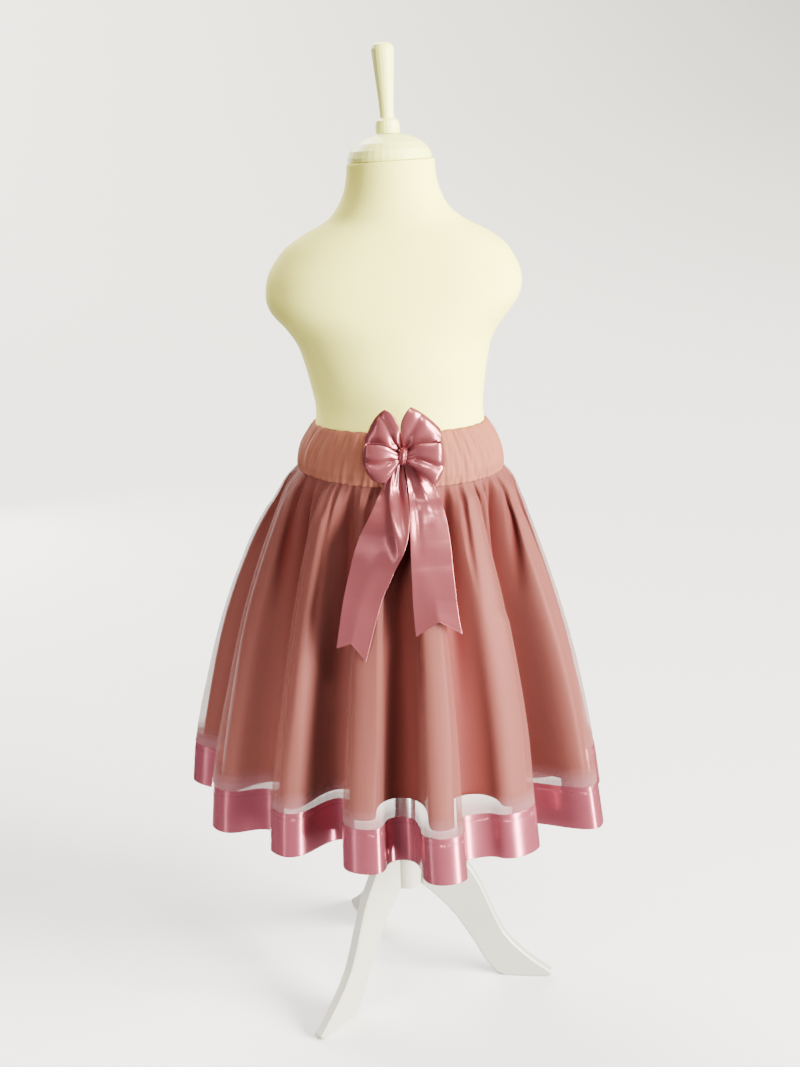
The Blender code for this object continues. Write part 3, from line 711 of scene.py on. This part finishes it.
def metal_finish():
    """Brushed steel."""
    recipe = Recipe("pole_metal", (0.72, 0.72, 0.71), 0.3, Metallic=1.0)
    brush = recipe.noise(recipe.object_place(), 260.0, detail=3.0)
    recipe.set(Roughness=0.24 + brush * 0.16)
    recipe.bump(brush, 0.00005)


def finish_of(name):
    """The material of a finish that is already made."""
    material = bpy.data.materials.get(f"finish_{name}")
    if material is None:
        raise RuntimeError(f"the finish {name} isn't made yet")
    return material


# ---------------------------------------------------------------- shape helpers
def smooth_between(at, places, values):
    """A smooth curve through values at rising places, read at the places in at."""
    places, values = np.asarray(places, float), np.asarray(values, float)
    slope = np.gradient(values, places)
    right = np.clip(np.searchsorted(places, at, side="right"), 1, len(places) - 1)
    left = right - 1
    span = places[right] - places[left]
    part = np.clip((at - places[left]) / span, 0.0, 1.0)
    return ((1 + 2 * part) * (1 - part) ** 2 * values[left] + part * (1 - part) ** 2 * span * slope[left]
            + part ** 2 * (3 - 2 * part) * values[right] - part ** 2 * (1 - part) * span * slope[right])


def column(rows, name, at):
    """One named column of a table, read smoothly at heights."""
    rising = sorted(rows, key=lambda row: row["height"])
    return smooth_between(at, [row["height"] for row in rising], [row[name] for row in rising])


def columns_of(rows, heights):
    """Every column of a table but the height, read smoothly, each standing upright."""
    return {name: column(rows, name, heights)[:, None] for name in rows[0] if name != "height"}


def window(share, start, end, soft=0.12, quick=1.0):
    """Rises from 0 to 1 after start and falls back before end."""
    rise = np.clip((share - start + soft * 0.3 * quick) / (soft * quick), 0, 1)
    fall = np.clip((end - share) / (soft * 1.6), 0, 1)
    return rise * rise * (3 - 2 * rise) * fall * fall * (3 - 2 * fall)


def squared(side, front, square):
    """The reach of a rounded rectangle, where square 2 is an ellipse."""
    return (np.abs(side) ** square + np.abs(front) ** square) ** (-1 / square)


def moved_out(points, distance, around=False):
    """A grid of points moved along its outward direction."""
    if around:
        along = np.roll(points, -1, axis=1) - np.roll(points, 1, axis=1)
    else:
        along = np.gradient(points, axis=1)
    rise = -np.gradient(points, axis=0)
    outward = np.cross(along, rise)
    outward /= np.maximum(np.linalg.norm(outward, axis=2, keepdims=True), 1e-12)
    return points + outward * np.broadcast_to(distance, points.shape[:2])[..., None]


def with_edges(shares, inset=0.012):
    """Shares from first to last, with one more close to each end to keep the rims crisp."""
    first, last = shares[0], shares[-1]
    close = inset * (last - first)
    return np.concatenate([[first, first + close], shares[1:-1], [last - close, last]])


def lengths(points, axis):
    """Distance travelled along the grid's rows or columns."""
    steps = np.linalg.norm(np.diff(points, axis=axis), axis=2)
    start = np.zeros_like(np.take(steps, [0], axis=axis))
    return np.cumsum(np.concatenate([start, steps], axis=axis), axis=axis)


def add_sheet(name, points, material, around=False, thick=0.0, painted_shade_amount=None):
    """A smooth sheet through a grid of points; rows run down, columns to the right.

    The map "cloth" holds distances round and down the sheet in metres. The painted shade,
    where it is given, says how dark each point is painted, and goes into the map "valley".
    """
    rows, columns = points.shape[:2]
    wide = np.concatenate([points, points[:, :1]], axis=1) if around else points
    row, place = np.meshgrid(np.arange(rows - 1), np.arange(wide.shape[1] - 1), indexing="ij")
    corner_rows = np.stack([row + 1, row + 1, row, row], axis=-1).reshape(-1, 4)
    corner_places = np.stack([place, place + 1, place + 1, place], axis=-1).reshape(-1, 4)
    quads = corner_rows * columns + corner_places % columns
    mesh = bpy.data.meshes.new(name)
    mesh.from_pydata((points + STAND_AT).reshape(-1, 3).tolist(), [], quads.tolist())
    round_way = lengths(wide, 1)[-1]
    down_way = lengths(points, 0)[:, columns // 2]
    maps = dict(cloth=(round_way[corner_places], down_way[corner_rows]))
    if painted_shade_amount is not None:
        maps["valley"] = (painted_shade_amount[corner_rows, corner_places], (down_way / down_way[-1])[corner_rows])
    for title, pair in maps.items():
        layer = mesh.uv_layers.new(name=title)
        layer.data.foreach_set("uv", np.stack(pair, axis=-1).reshape(-1))
    mesh.shade_smooth()
    mesh.materials.append(material)
    piece = bpy.data.objects.new(name, mesh)
    bpy.context.scene.collection.objects.link(piece)
    if thick:
        thicken = piece.modifiers.new("wall", "SOLIDIFY")
        thicken.thickness = thick
        thicken.offset = -1.0
    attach(piece, "root")
    return piece


# ---------------------------------------------------------------- the skirt's surface
def fold_shape(places):
    """The folds at places round the skirt.

    Gives the angles before and after the walls are made upright, the reach as a share of
    the outline's radius, the lift, how deep in a valley the place is and how much painted
    shade it gets, and how deep the gathers cut in.
    """
    number = np.floor(places).astype(int) % FOLD_COUNT
    part = places - np.floor(places)
    rising = part < 0.5
    half = np.where(rising, part * 2, part * 2 - 1)
    here = {name: np.array([row[name] for row in FOLDS])[number] for name in FOLDS[0]}
    last_one = {name: np.array([row[name] for row in FOLDS])[number - 1] for name in FOLDS[0]}
    first = np.where(rising, last_one["valley"] - np.where(number == 0, 360, 0), here["crest"])
    last = np.where(rising, here["crest"], here["valley"])
    eased = half + np.where(rising, here["before"], here["after"]) * np.sin(2 * np.pi * half)
    level = (1 - np.cos(np.pi * half)) / 2
    share = np.where(rising, level, 1 - level)
    low = np.where(rising, last_one["depth"], here["depth"])
    cut = np.where(rising, last_one["notch"], here["notch"]) * NOTCH_VALLEY["depth"]
    away = np.minimum(part, 1 - part)
    dark = np.where(rising, last_one["dark"], here["dark"])
    return dict(
        plain=np.radians(first + (last - first) * half),
        swung=np.radians(first + (last - first) * eased),
        reach=low + (here["reach"] - low) * share,
        lift=here["lift"] * share,
        valley=(1 - share) ** 1.5,
        painted_shade_amount=dark * (1 - share) ** np.where(rising, here["shaded"], here["past"]),
        notch=(cut * np.exp(-(away / NOTCH_VALLEY["width"]) ** 1.3)
               + NOTCH_CREST["depth"] * np.exp(-((part - 0.5) / NOTCH_CREST["width"]) ** 2)))


def way_down(heights):
    """The share of the way from the waist seam to the hem."""
    return (SEAM_HEIGHT - heights) / (SEAM_HEIGHT - HEM_HEIGHT)


def crease_field(places, shares):
    """How far the creases move the cloth in, at places round and shares of the way down."""
    field = np.zeros((len(shares), len(places)))
    for row in CREASES:
        path = row["place"] + row["lean"] * shares[:, None]
        away = (places[None, :] - path + FOLD_COUNT / 2) % FOLD_COUNT - FOLD_COUNT / 2
        run = window(shares, row["start"], row["end"], soft=0.16, quick=0.25)[:, None]
        field -= row["depth"] * run * np.exp(-np.abs(away / row["width"]) ** 1.5)
    return field


def painted_shade_of(places, heights):
    """The painted shade of the skirt, from 0 to 1: in its valleys and in the dents of its creases and
    gathers.
    """
    shape = fold_shape(places)
    dents = np.clip(-crease_field(places, way_down(heights)) / DEEP_CREASE, 0, 1)
    gathered = np.clip(column(SECTIONS, "gather", heights) / DEEP_GATHER, 0, 1)[:, None] * shape["notch"]
    opened = column(SECTIONS, "fold", heights)[:, None]
    folds = shape["painted_shade_amount"] * (SHADE_AT_SEAM + (1 - SHADE_AT_SEAM) * opened)
    return np.clip(folds + SHADE_IN_CREASES * dents + SHADE_IN_GATHERS * gathered, 0, 1)


def seam_rise(turn):
    """How much higher the waist seam is pulled at angles in radians."""
    return SEAM_LIFT - SEAM_DIP * np.cos(turn) ** 2 - SEAM_TILT * np.sin(turn)


def seam_pucker(turn, start=0.0):
    """The puckers round the waist seam, from -1 to 1."""
    return np.sin(PUCKERS * turn + 2.0 * np.sin(5 * turn) + start)


def skirt_surface(places, heights):
    """Outer face of the tulle: a row per height, a column per place."""
    shape = fold_shape(places)
    section = columns_of(SECTIONS, heights)
    opened = np.clip(section["fold"], 0, 1)
    side = (1 - opened) * np.sin(shape["plain"]) + opened * shape["reach"] * np.sin(shape["swung"])
    front = (1 - opened) * np.cos(shape["plain"]) + opened * shape["reach"] * np.cos(shape["swung"])
    below = (SEAM_HEIGHT - heights)[:, None]
    gather = -np.maximum(section["gather"], 0) * shape["notch"]
    pucker = seam_pucker(shape["plain"], 40 * below) - 1
    gather = gather + PUCKER * pucker * np.exp(-(below / PUCKER_FADE) ** 2) * np.clip(below / 0.003, 0, 1)
    x = (section["wide"] + gather) * side + section["shift"]
    y = -(section["deep"] + gather) * front - WAIST_FORWARD
    pulled = np.clip(1 - below / SEAM_FADE, 0, 1) ** 2
    z = heights[:, None] + shape["lift"] * opened + seam_rise(shape["plain"])[None, :] * pulled
    points = np.stack([x, y, np.broadcast_to(z, x.shape)], axis=-1)
    points = moved_out(points, crease_field(places, way_down(heights)))
    return clear_of_form(points, FORM_CLEARANCE)


def clear_of_form(points, clearance):
    """Points pushed outwards where they would touch the dress form."""
    at = {name: column(FORM, name, points[..., 2]) for name in ("wide", "deep", "shift", "forward")}
    side = (points[..., 0] - at["shift"]) / (at["wide"] + clearance)
    front = (points[..., 1] + at["forward"]) / (at["deep"] + clearance)
    reach = np.maximum(np.hypot(side, front), 1e-6)
    push = np.where(points[..., 2] > FORM[0]["height"], np.maximum(1 / reach, 1.0), 1.0)
    pushed = points.copy()
    pushed[..., 0] = (points[..., 0] - at["shift"]) * push + at["shift"]
    pushed[..., 1] = (points[..., 1] + at["forward"]) * push - at["forward"]
    return pushed


def panel_places(side, per_fold):
    """Places of one panel's columns from side seam to side seam, and one beyond each.

    The places beyond the seams give both panels the same slope there; they aren't drawn.
    """
    first, last = (0, FRONT_FOLDS) if side == "front" else (FRONT_FOLDS, FOLD_COUNT)
    places = np.linspace(first, last, (last - first) * per_fold + 1)
    step = places[1] - places[0]
    return np.concatenate([[places[0] - step], places, [places[-1] + step]])


def row_heights(low, rows):
    """Heights from the seam down to low, closer together near the seam."""
    share = np.linspace(0, 1, rows)
    return SEAM_HEIGHT - (SEAM_HEIGHT - low) * (0.75 * share + 0.25 * share ** 2)


def add_panel(name, points, places, heights, material, thick=0.0):
    """A panel's sheet, without the places beyond its seams."""
    # each point's painted shade goes with the sheet, to darken its colour in the shaded places
    return add_sheet(name, points[:, 1:-1], material, thick=thick,
                     painted_shade_amount=painted_shade_of(places, heights)[:, 1:-1])


# ---------------------------------------------------------------- operators
class SKIRT_OT_finishes(bpy.types.Operator):
    """Make the materials that the pieces share."""

    bl_idname = "skirt.finishes"
    bl_label = "Finishes"

    def execute(self, context):
        colours, sizes = context.scene.skirt_colours, context.scene.skirt_sizes
        tulle_finish(colours, sizes)
        lining_finish(colours)
        ribbon_finish("ribbon_satin", colours.ribbon, sizes, 0.17)
        ribbon_finish("hem_satin", colours.hem, sizes, 0.19, stitched=True)
        band_finish(colours)
        jersey_finish(colours)
        paint_finish("painted_wood", colours.paint)
        # the legs' and hub's paint: the stand's off-white paint darkened and greyed as painted shade under
        # the skirt
        paint_finish("legs_paint_with_painted_shade", colours.legs)
        metal_finish()
        return {"FINISHED"}


class SKIRT_OT_stand(bpy.types.Operator):
    """Paint the stand, the neck cap and the finial."""

    bl_idname = "skirt.stand"
    bl_label = "Stand"
    nodes = dict(
        painted_wood=("neck_cap", "finial"),
        # the legs and the hub get the stand's paint with painted shade
        legs_paint_with_painted_shade=("leg_1", "leg_2", "leg_3", "hub"),
        pole_metal=("pole",),
    )

    def execute(self, context):
        for finish, nodes in self.nodes.items():
            for node in nodes:
                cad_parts[node].material_slots[0].material = finish_of(finish)
        return {"FINISHED"}


class SKIRT_OT_form(bpy.types.Operator):
    """Cover the dress form's body with jersey."""

    bl_idname = "skirt.form"
    bl_label = "Dress form"
    rows = 150
    columns = 160

    def execute(self, context):
        low, high = FORM[0]["height"], FORM[-1]["height"]
        heights = np.linspace(high, low, self.rows)
        angles = np.linspace(0, 2 * np.pi, self.columns, endpoint=False)
        row = columns_of(FORM, heights)
        side, front = np.sin(angles)[None, :], np.cos(angles)[None, :]
        size = squared(side, front, row["square"])
        x = row["wide"] * size * side + row["shift"]
        y = -row["deep"] * size * front - row["forward"]
        top = np.clip((heights - high + NECK_STRETCH) / NECK_STRETCH, 0, 1)[:, None]
        z = heights[:, None] - x * math.tan(NECK_TILT) * top
        points = np.stack([x, y, z], axis=-1)
        caps = []
        for ring in (points[0], points[-1]):
            centre = ring.mean(axis=0)
            caps.append(np.array([centre + (ring - centre) * share for share in CAP_RINGS]))
        closed = np.concatenate([caps[0], points, caps[1][::-1]])
        piece = add_sheet("form_cover", closed, finish_of("form_jersey"), around=True)
        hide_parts("form_body")
        return {"FINISHED"}


class SKIRT_OT_lining(bpy.types.Operator):
    """Hang the satin lining, front and back."""

    bl_idname = "skirt.lining"
    bl_label = "Lining"
    cuts = dict(front=(0.80, 0.36), back=(0.98, 0.36))

    def execute(self, context):
        sizes = context.scene.skirt_sizes
        heights = row_heights(LINING_HEM, sizes.skirt_rows)
        section = columns_of(SECTIONS, heights)
        share = np.clip((LINING_LEVEL - heights) / (LINING_LEVEL - LINING_HEM), 0, 1)[:, None]
        for side, (width, length) in self.cuts.items():
            places = panel_places(side, sizes.fold_columns)
            shape = fold_shape(places)
            distance = section["lining"] + TULLE_WALL + LINING_SINK * (shape["painted_shade_amount"] * section["fold"])
            points = moved_out(skirt_surface(places, heights), -distance)
            points = clear_of_form(points, FORM_CLEARANCE / 2)
            drop = smooth_between(places, *zip(*LINING_DROPS))
            drop = drop + LINING_CREST_DROP * (1 - 2 * shape["valley"])
            points[..., 2] -= drop[None, :] * share
            piece = add_panel(f"lining_{side}_cloth", points, places, heights, finish_of("lining_satin"),
                              thick=LINING_THICK)
            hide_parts(f"lining_{side}")
        return {"FINISHED"}


class SKIRT_OT_tulle(bpy.types.Operator):
    """Hang the sheer tulle, front and back."""

    bl_idname = "skirt.tulle"
    bl_label = "Tulle"
    cuts = dict(front=(0.95, 0.42), back=(1.15, 0.42))

    def execute(self, context):
        sizes = context.scene.skirt_sizes
        heights = row_heights(HEM_HEIGHT, sizes.skirt_rows)
        for side, (width, length) in self.cuts.items():
            places = panel_places(side, sizes.fold_columns)
            piece = add_panel(f"tulle_{side}_cloth", skirt_surface(places, heights), places, heights,
                              finish_of("tulle_net"))
            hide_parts(f"tulle_{side}")
        return {"FINISHED"}


class SKIRT_OT_hem_ribbon(bpy.types.Operator):
    """Sew the satin ribbon round the hem."""

    bl_idname = "skirt.hem_ribbon"
    bl_label = "Hem ribbon"
    rows = 22

    def execute(self, context):
        sizes = context.scene.skirt_sizes
        places = np.linspace(0, FOLD_COUNT, FOLD_COUNT * sizes.fold_columns, endpoint=False)
        heights = with_edges(np.linspace(RIBBON_TOP, HEM_HEIGHT - HEM_LAP, self.rows), 0.006)
        away = RIBBON_TOP - heights - sizes.stitch_inset
        groove = STITCH_GROOVE["depth"] * np.exp(-(away / STITCH_GROOVE["width"]) ** 2)
        lift = (sizes.ribbon_lift - groove)[:, None]
        points = moved_out(skirt_surface(places, heights), lift, around=True)
        piece = add_sheet("hem_ribbon_satin", points, finish_of("hem_satin"), around=True, thick=HEM_THICK)
        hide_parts("hem_ribbon")
        return {"FINISHED"}


class SKIRT_OT_waistband(bpy.types.Operator):
    """Gather the tulle waistband over its elastic."""

    bl_idname = "skirt.waistband"
    bl_label = "Waistband"
    rows = 44
    columns = 900

    def relief(self, angles, share):
        """How far the band's face stands out at angles in degrees and shares of the way down."""
        field = np.zeros((len(share), len(angles)))
        for row in BAND_GATHERS:
            run = window(share, row["start"] - 0.1, row["end"] + 0.15, soft=0.2)[:, None]
            lean = row["lean"] * (1 - share[:, None])
            for path in (row["angle"] + lean, 180 - row["angle"] * BACK_SPREAD - lean):
                away = (angles[None, :] - path + 180) % 360 - 180
                field -= row["depth"] * run * np.exp(-(away / row["width"]) ** 2)
        turn = np.radians(angles)[None, :]
        for row in BAND_RIPPLES:
            field += row["depth"] * np.sin(row["count"] * turn + row["lean"] * share[:, None] + row["start"])
        curl = np.clip(1 - share / BAND_CURL["share"], 0, 1)[:, None]
        tucked = np.clip((share - 1 + BAND_TUCK["share"]) / BAND_TUCK["share"], 0, 1)[:, None]
        return (field + BAND_PUCKER * seam_pucker(turn) * tucked
                - BAND_CURL["depth"] * curl ** 2 - BAND_TUCK["depth"] * tucked ** 2)

    def execute(self, context):
        angles = np.linspace(0, 360, self.columns, endpoint=False)
        share = np.linspace(0, 1, self.rows)
        heights = BAND_TOP - (BAND_TOP - BAND_BOTTOM + BAND_LAP) * share
        field = self.relief(angles, share)
        turn = np.radians(angles)[None, :]
        row = columns_of(BAND, heights)
        side, front = np.sin(turn), np.cos(turn)
        size = squared(side, front, BAND_SQUARE)
        x = (row["wide"] + BAND_PUFF + field) * size * side + row["shift"]
        y = -(row["deep"] + BAND_PUFF + field) * size * front - row["forward"]
        z = heights[:, None] + seam_rise(turn) * share[:, None] ** 2
        points = np.stack([x, y, z], axis=-1)
        points[0, :, 2] += BAND_SCALLOP["height"] * np.sin(turn[0] * BAND_SCALLOP["count"])
        piece = add_sheet("waistband_tulle", points, finish_of("band_tulle"), around=True,
                          thick=BAND_THICK)
        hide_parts("waistband")
        return {"FINISHED"}


def knot_points(rows=36, columns=48):
    """The ribbon wrapped round the bow's middle, as rings from top to bottom."""
    half_x, half_y, half_z = KNOT_HALF
    tall = np.linspace(0.04, math.pi - 0.04, rows)[:, None]
    turn = np.linspace(0, 2 * np.pi, columns, endpoint=False)[None, :]
    pleat = 1 - sum(row["depth"] * np.exp(-((turn - row["turn"]) / row["width"]) ** 2)
                    for row in KNOT_PLEATS)
    waist = (1 - KNOT_WAIST * np.sin(tall) ** 4) * KNOT_WIDER
    x = half_x * np.sin(tall) * np.sin(turn) * pleat * waist
    y = -half_y * np.sin(tall) * np.cos(turn) * pleat
    y = np.where(y > 0, y * KNOT_BACK, y)
    z = half_z * np.cos(tall) + 0 * turn
    return np.stack([x + KNOT_SLANT * z + KNOT_X, y + KNOT_Y, z + KNOT_HEIGHT], axis=-1)


def loop_points(row, steps=76, across=30):
    """One loop of the bow: the ribbon out, round and back, from edge to edge."""
    angle = np.linspace(0, 2 * np.pi, steps)[:, None]
    share = with_edges(np.linspace(-1, 1, across))[None, :]
    upright = np.abs(np.sin(angle))
    far = (1 - np.cos(angle)) / 2
    ribs = np.array(row["ribs"])
    first_x, first_z, last_x, last_z = (smooth_between(far, ribs[:, 0], ribs[:, side])
                                        for side in (1, 2, 3, 4))
    part = (share + 1) / 2
    x, z = first_x + (last_x - first_x) * part, first_z + (last_z - first_z) * part
    out_x, out_z = ribs[-1, 1] + ribs[-1, 3], ribs[-1, 2] + ribs[-1, 4]
    stretch = row["bow"] * (1 - share ** 2) * far ** 3 / math.hypot(out_x, out_z)
    puff = row["swell"] * (1 - LOOP_FLATTER * share ** 2) * upright * far ** 0.35
    pleats = LOOP_PLEATS["depth"] * np.cos(share * LOOP_PLEATS["count"] + LOOP_PLEATS["start"])
    pleats = pleats * (1 - far) ** 1.5 * upright ** 0.5
    crease = row["crease"] * np.exp(-np.abs((share - row["trough"]) / LOOP_TROUGH) ** 1.5)
    crease = crease * np.clip(far * 4, 0, 1) * upright ** 0.6
    out = np.where(np.sin(angle) > 0, puff + pleats - crease, -row["back"] * puff)
    out = out + LOOP_PARTING * np.cos(angle / 2) + row["turned"] * share * np.clip(far * 2, 0, 1)
    return np.stack([x + out_x * stretch + KNOT_X,
                     KNOT_Y - row["out"] - out + 0 * x,
                     z + out_z * stretch + KNOT_HEIGHT], axis=-1)


class SKIRT_OT_bow_loops(bpy.types.Operator):
    """Tie the bow: its knot and four loops."""

    bl_idname = "skirt.bow_loops"
    bl_label = "Bow knot and loops"

    def execute(self, context):
        material = finish_of("ribbon_satin")
        knot = add_sheet("bow_knot_satin", knot_points(), material, around=True)
        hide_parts("bow_knot")
        for row in LOOPS:
            piece = add_sheet(f"{row['name']}_satin", loop_points(row), material, thick=RIBBON_THICK)
            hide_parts(row["name"])
            flat = (2 * row["length"] + LOOP_TURN, row["width"])
            0.80 * flat[0] * flat[1]
        return {"FINISHED"}


def skirt_front(skirt, heights, x, height):
    """The front-most place of the skirt or band near x at a height."""
    if height > SEAM_HEIGHT:
        return BAND_FRONT
    level = np.argmin(np.abs(heights - height))
    ring = skirt[level]
    return ring[np.abs(ring[:, 0] - x) < TAIL_REACH][:, 1].min()


def tail_points(rows, end, troughs, skirt, heights, fold=None, down=90, across=30):
    """A tail of the bow: hangs from the knot over the folds to its swallowtail cut."""
    top, bottom = rows[0]["height"], rows[-1]["height"]
    level = with_edges(np.linspace(top, bottom, down), 0.002)
    left, right = column(rows, "left", level), column(rows, "right", level)
    share = with_edges(np.linspace(0, 1, across))
    x = left[:, None] + (right - left)[:, None] * share[None, :]
    way = ((top - level) / (top - bottom))[:, None]
    cut = np.interp(share, (0, 0.5, 1), end)
    z = level[:, None] - cut[None, :] * np.clip((way - TAIL_CUT) / (1 - TAIL_CUT), 0, 1)
    base = np.array([[skirt_front(skirt, heights, edge, height) for edge in edges]
                     for edges, height in zip(x[:, (0, -1)], level)])
    soft = np.ones(9) / 9
    base = np.stack([np.convolve(np.pad(base[:, side], 4, mode="edge"), soft, "valid")
                     for side in (0, 1)], axis=-1)
    y = base[:, :1] * (1 - share) + base[:, 1:] * share - TAIL_CLEARANCE
    turned = column(rows, "turned", level)[:, None]
    y = y - np.maximum(turned, 0) * share + np.minimum(turned, 0) * (1 - share)
    y = np.minimum(y, KNOT_Y + TAIL_TUCK + way * TAIL_FALL)
    if fold:
        y = y + fold["depth"] * np.exp(-((way - fold["way"]) / fold["width"]) ** 2)
    for row in troughs:
        path = row["across"] + row["lean"] * (way - row["start"])
        run = window(way, row["start"], row["end"], soft=0.2)
        y = y + row["depth"] * run * np.exp(-((share[None, :] - path) / row["width"]) ** 2)
    return np.stack([x, y, z], axis=-1)


class SKIRT_OT_bow_tails(bpy.types.Operator):
    """Hang the bow's two tails over the skirt."""

    bl_idname = "skirt.bow_tails"
    bl_label = "Bow tails"
    tails = (
        ("bow_tail_left", TAIL_LEFT, TAIL_LEFT_END, TAIL_LEFT_TROUGHS, None, 0.215),
        ("bow_tail_right", TAIL_RIGHT, TAIL_RIGHT_END, TAIL_RIGHT_TROUGHS, TAIL_RIGHT_FOLD, 0.185),
    )
    first_fold = 1
    last_fold = 5
    below_tails = 0.44

    def execute(self, context):
        heights = np.linspace(SEAM_HEIGHT, self.below_tails, 100)
        skirt = skirt_surface(np.linspace(self.first_fold, self.last_fold, 160), heights)
        for name, rows, end, troughs, fold, length in self.tails:
            points = tail_points(rows, end, troughs, skirt, heights, fold)
            piece = add_sheet(f"{name}_satin", points, finish_of("ribbon_satin"), thick=RIBBON_THICK)
            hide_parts(name)
            0.80 * length * RIBBON_WIDTH
        return {"FINISHED"}


class SKIRT_OT_stage(bpy.types.Operator):
    """Set the floor, the soft studio light and the camera."""

    bl_idname = "skirt.stage"
    bl_label = "Stage"

    def add(self, name, data):
        thing = bpy.data.objects.new(name, data)
        bpy.context.scene.collection.objects.link(thing)
        return thing

    def add_floor(self):
        turn = np.linspace(0, 2 * np.pi, FLOOR_STEPS, endpoint=False)
        points = [(0.0, 0.0, 0.0)]
        points += [(reach * math.sin(angle), reach * math.cos(angle), height)
                   for reach, height in FLOOR_PROFILE for angle in turn]
        faces = [(0, 1 + (step + 1) % FLOOR_STEPS, 1 + step) for step in range(FLOOR_STEPS)]
        for start in range(1, 1 + (len(FLOOR_PROFILE) - 1) * FLOOR_STEPS, FLOOR_STEPS):
            for step in range(FLOOR_STEPS):
                first, beside = start + step, start + (step + 1) % FLOOR_STEPS
                faces.append((first, beside, beside + FLOOR_STEPS, first + FLOOR_STEPS))
        mesh = bpy.data.meshes.new("floor")
        mesh.from_pydata(points, [], faces)
        mesh.shade_smooth()
        floor = self.add("floor", mesh)
        paper = Recipe("floor_paper", FLOOR_COLOUR, 0.95, **{"Specular IOR Level": 0.0})
        mesh.materials.append(paper.material)
        floor.visible_diffuse = False
        floor.visible_glossy = False
        floor.visible_shadow = False

    def add_suns(self):
        for row in SUNS:
            lamp = bpy.data.lights.new(row["name"], "SUN")
            lamp.energy = row["strength"]
            lamp.angle = math.radians(row["spread"])
            lamp.color = row["colour"]
            side, rise = math.radians(row["turn"]), math.radians(row["rise"])
            towards = Vector((math.sin(side) * math.cos(rise), -math.cos(side) * math.cos(rise),
                              math.sin(rise)))
            self.add(row["name"], lamp).rotation_euler = towards.to_track_quat("Z", "Y").to_euler()

    def add_windows(self):
        for row in WINDOWS:
            lamp = bpy.data.lights.new(row["name"], "AREA")
            lamp.shape = "RECTANGLE"
            lamp.size = row["wide"]
            lamp.size_y = row["tall"]
            lamp.energy = row["power"]
            lamp.spread = math.radians(row["beam"])
            holder = self.add(row["name"], lamp)
            holder.visible_glossy = row["mirrored"]
            side = math.radians(row["turn"])
            holder.location = (POLE_X + row["away"] * math.sin(side), POLE_Y - row["away"] * math.cos(side),
                               row["height"])
            towards = holder.location - Vector((POLE_X, POLE_Y, row["aim"]))
            holder.rotation_euler = towards.to_track_quat("Z", "Y").to_euler()

    def add_world(self, scene):
        world = bpy.data.worlds.new("studio")
        world.use_nodes = True
        background = world.node_tree.nodes["Background"]
        background.inputs[0].default_value = WORLD_COLOUR
        background.inputs[1].default_value = WORLD_STRENGTH
        scene.world = world

    def add_camera(self, scene):
        lens = bpy.data.cameras.new("camera")
        lens.sensor_fit = "AUTO"
        lens.sensor_width = SENSOR
        lens.lens = SENSOR * FOCAL_PIXELS / IMAGE_HEIGHT
        lens.clip_start = 0.05
        camera = self.add("camera", lens)
        place = Matrix.Translation(Vector(CAMERA_AT) + Vector(STAND_AT))
        tilt = Matrix.Rotation(math.pi / 2 - CAMERA_DOWN, 4, "X")
        camera.matrix_world = place @ tilt @ Matrix.Rotation(-CAMERA_ROLL, 4, "Z")
        scene.camera = camera

    def execute(self, context):
        self.add_floor()
        self.add_suns()
        self.add_windows()
        self.add_world(context.scene)
        self.add_camera(context.scene)
        return {"FINISHED"}


OPERATORS = (
    SKIRT_OT_finishes,
    SKIRT_OT_stage,
    SKIRT_OT_stand,
    SKIRT_OT_form,
    SKIRT_OT_lining,
    SKIRT_OT_tulle,
    SKIRT_OT_hem_ribbon,
    SKIRT_OT_waistband,
    SKIRT_OT_bow_loops,
    SKIRT_OT_bow_tails,
)


class SKIRT_PT_panel(bpy.types.Panel):
    """Lists the skirt's sizes, colours and pieces."""

    bl_idname = "SKIRT_PT_panel"
    bl_label = "Tulle skirt"
    bl_space_type = "VIEW_3D"
    bl_region_type = "UI"
    bl_category = "Skirt"

    def draw(self, context):
        for group in (context.scene.skirt_sizes, context.scene.skirt_colours):
            for name in group.__annotations__:
                self.layout.prop(group, name)
        for operator in OPERATORS:
            self.layout.operator(operator.bl_idname)


CLASSES = (SkirtSizes, SkirtColours, *OPERATORS, SKIRT_PT_panel)


def register():
    for each in CLASSES:
        bpy.utils.register_class(each)
    bpy.types.Scene.skirt_sizes = bpy.props.PointerProperty(type=SkirtSizes)
    bpy.types.Scene.skirt_colours = bpy.props.PointerProperty(type=SkirtColours)


def unregister():
    del bpy.types.Scene.skirt_colours
    del bpy.types.Scene.skirt_sizes
    for each in reversed(CLASSES):
        bpy.utils.unregister_class(each)


def main():
    register()
    for operator in OPERATORS:
        group, name = operator.bl_idname.split(".")
        getattr(getattr(bpy.ops, group), name)()


if __name__ == "__main__":
    main()
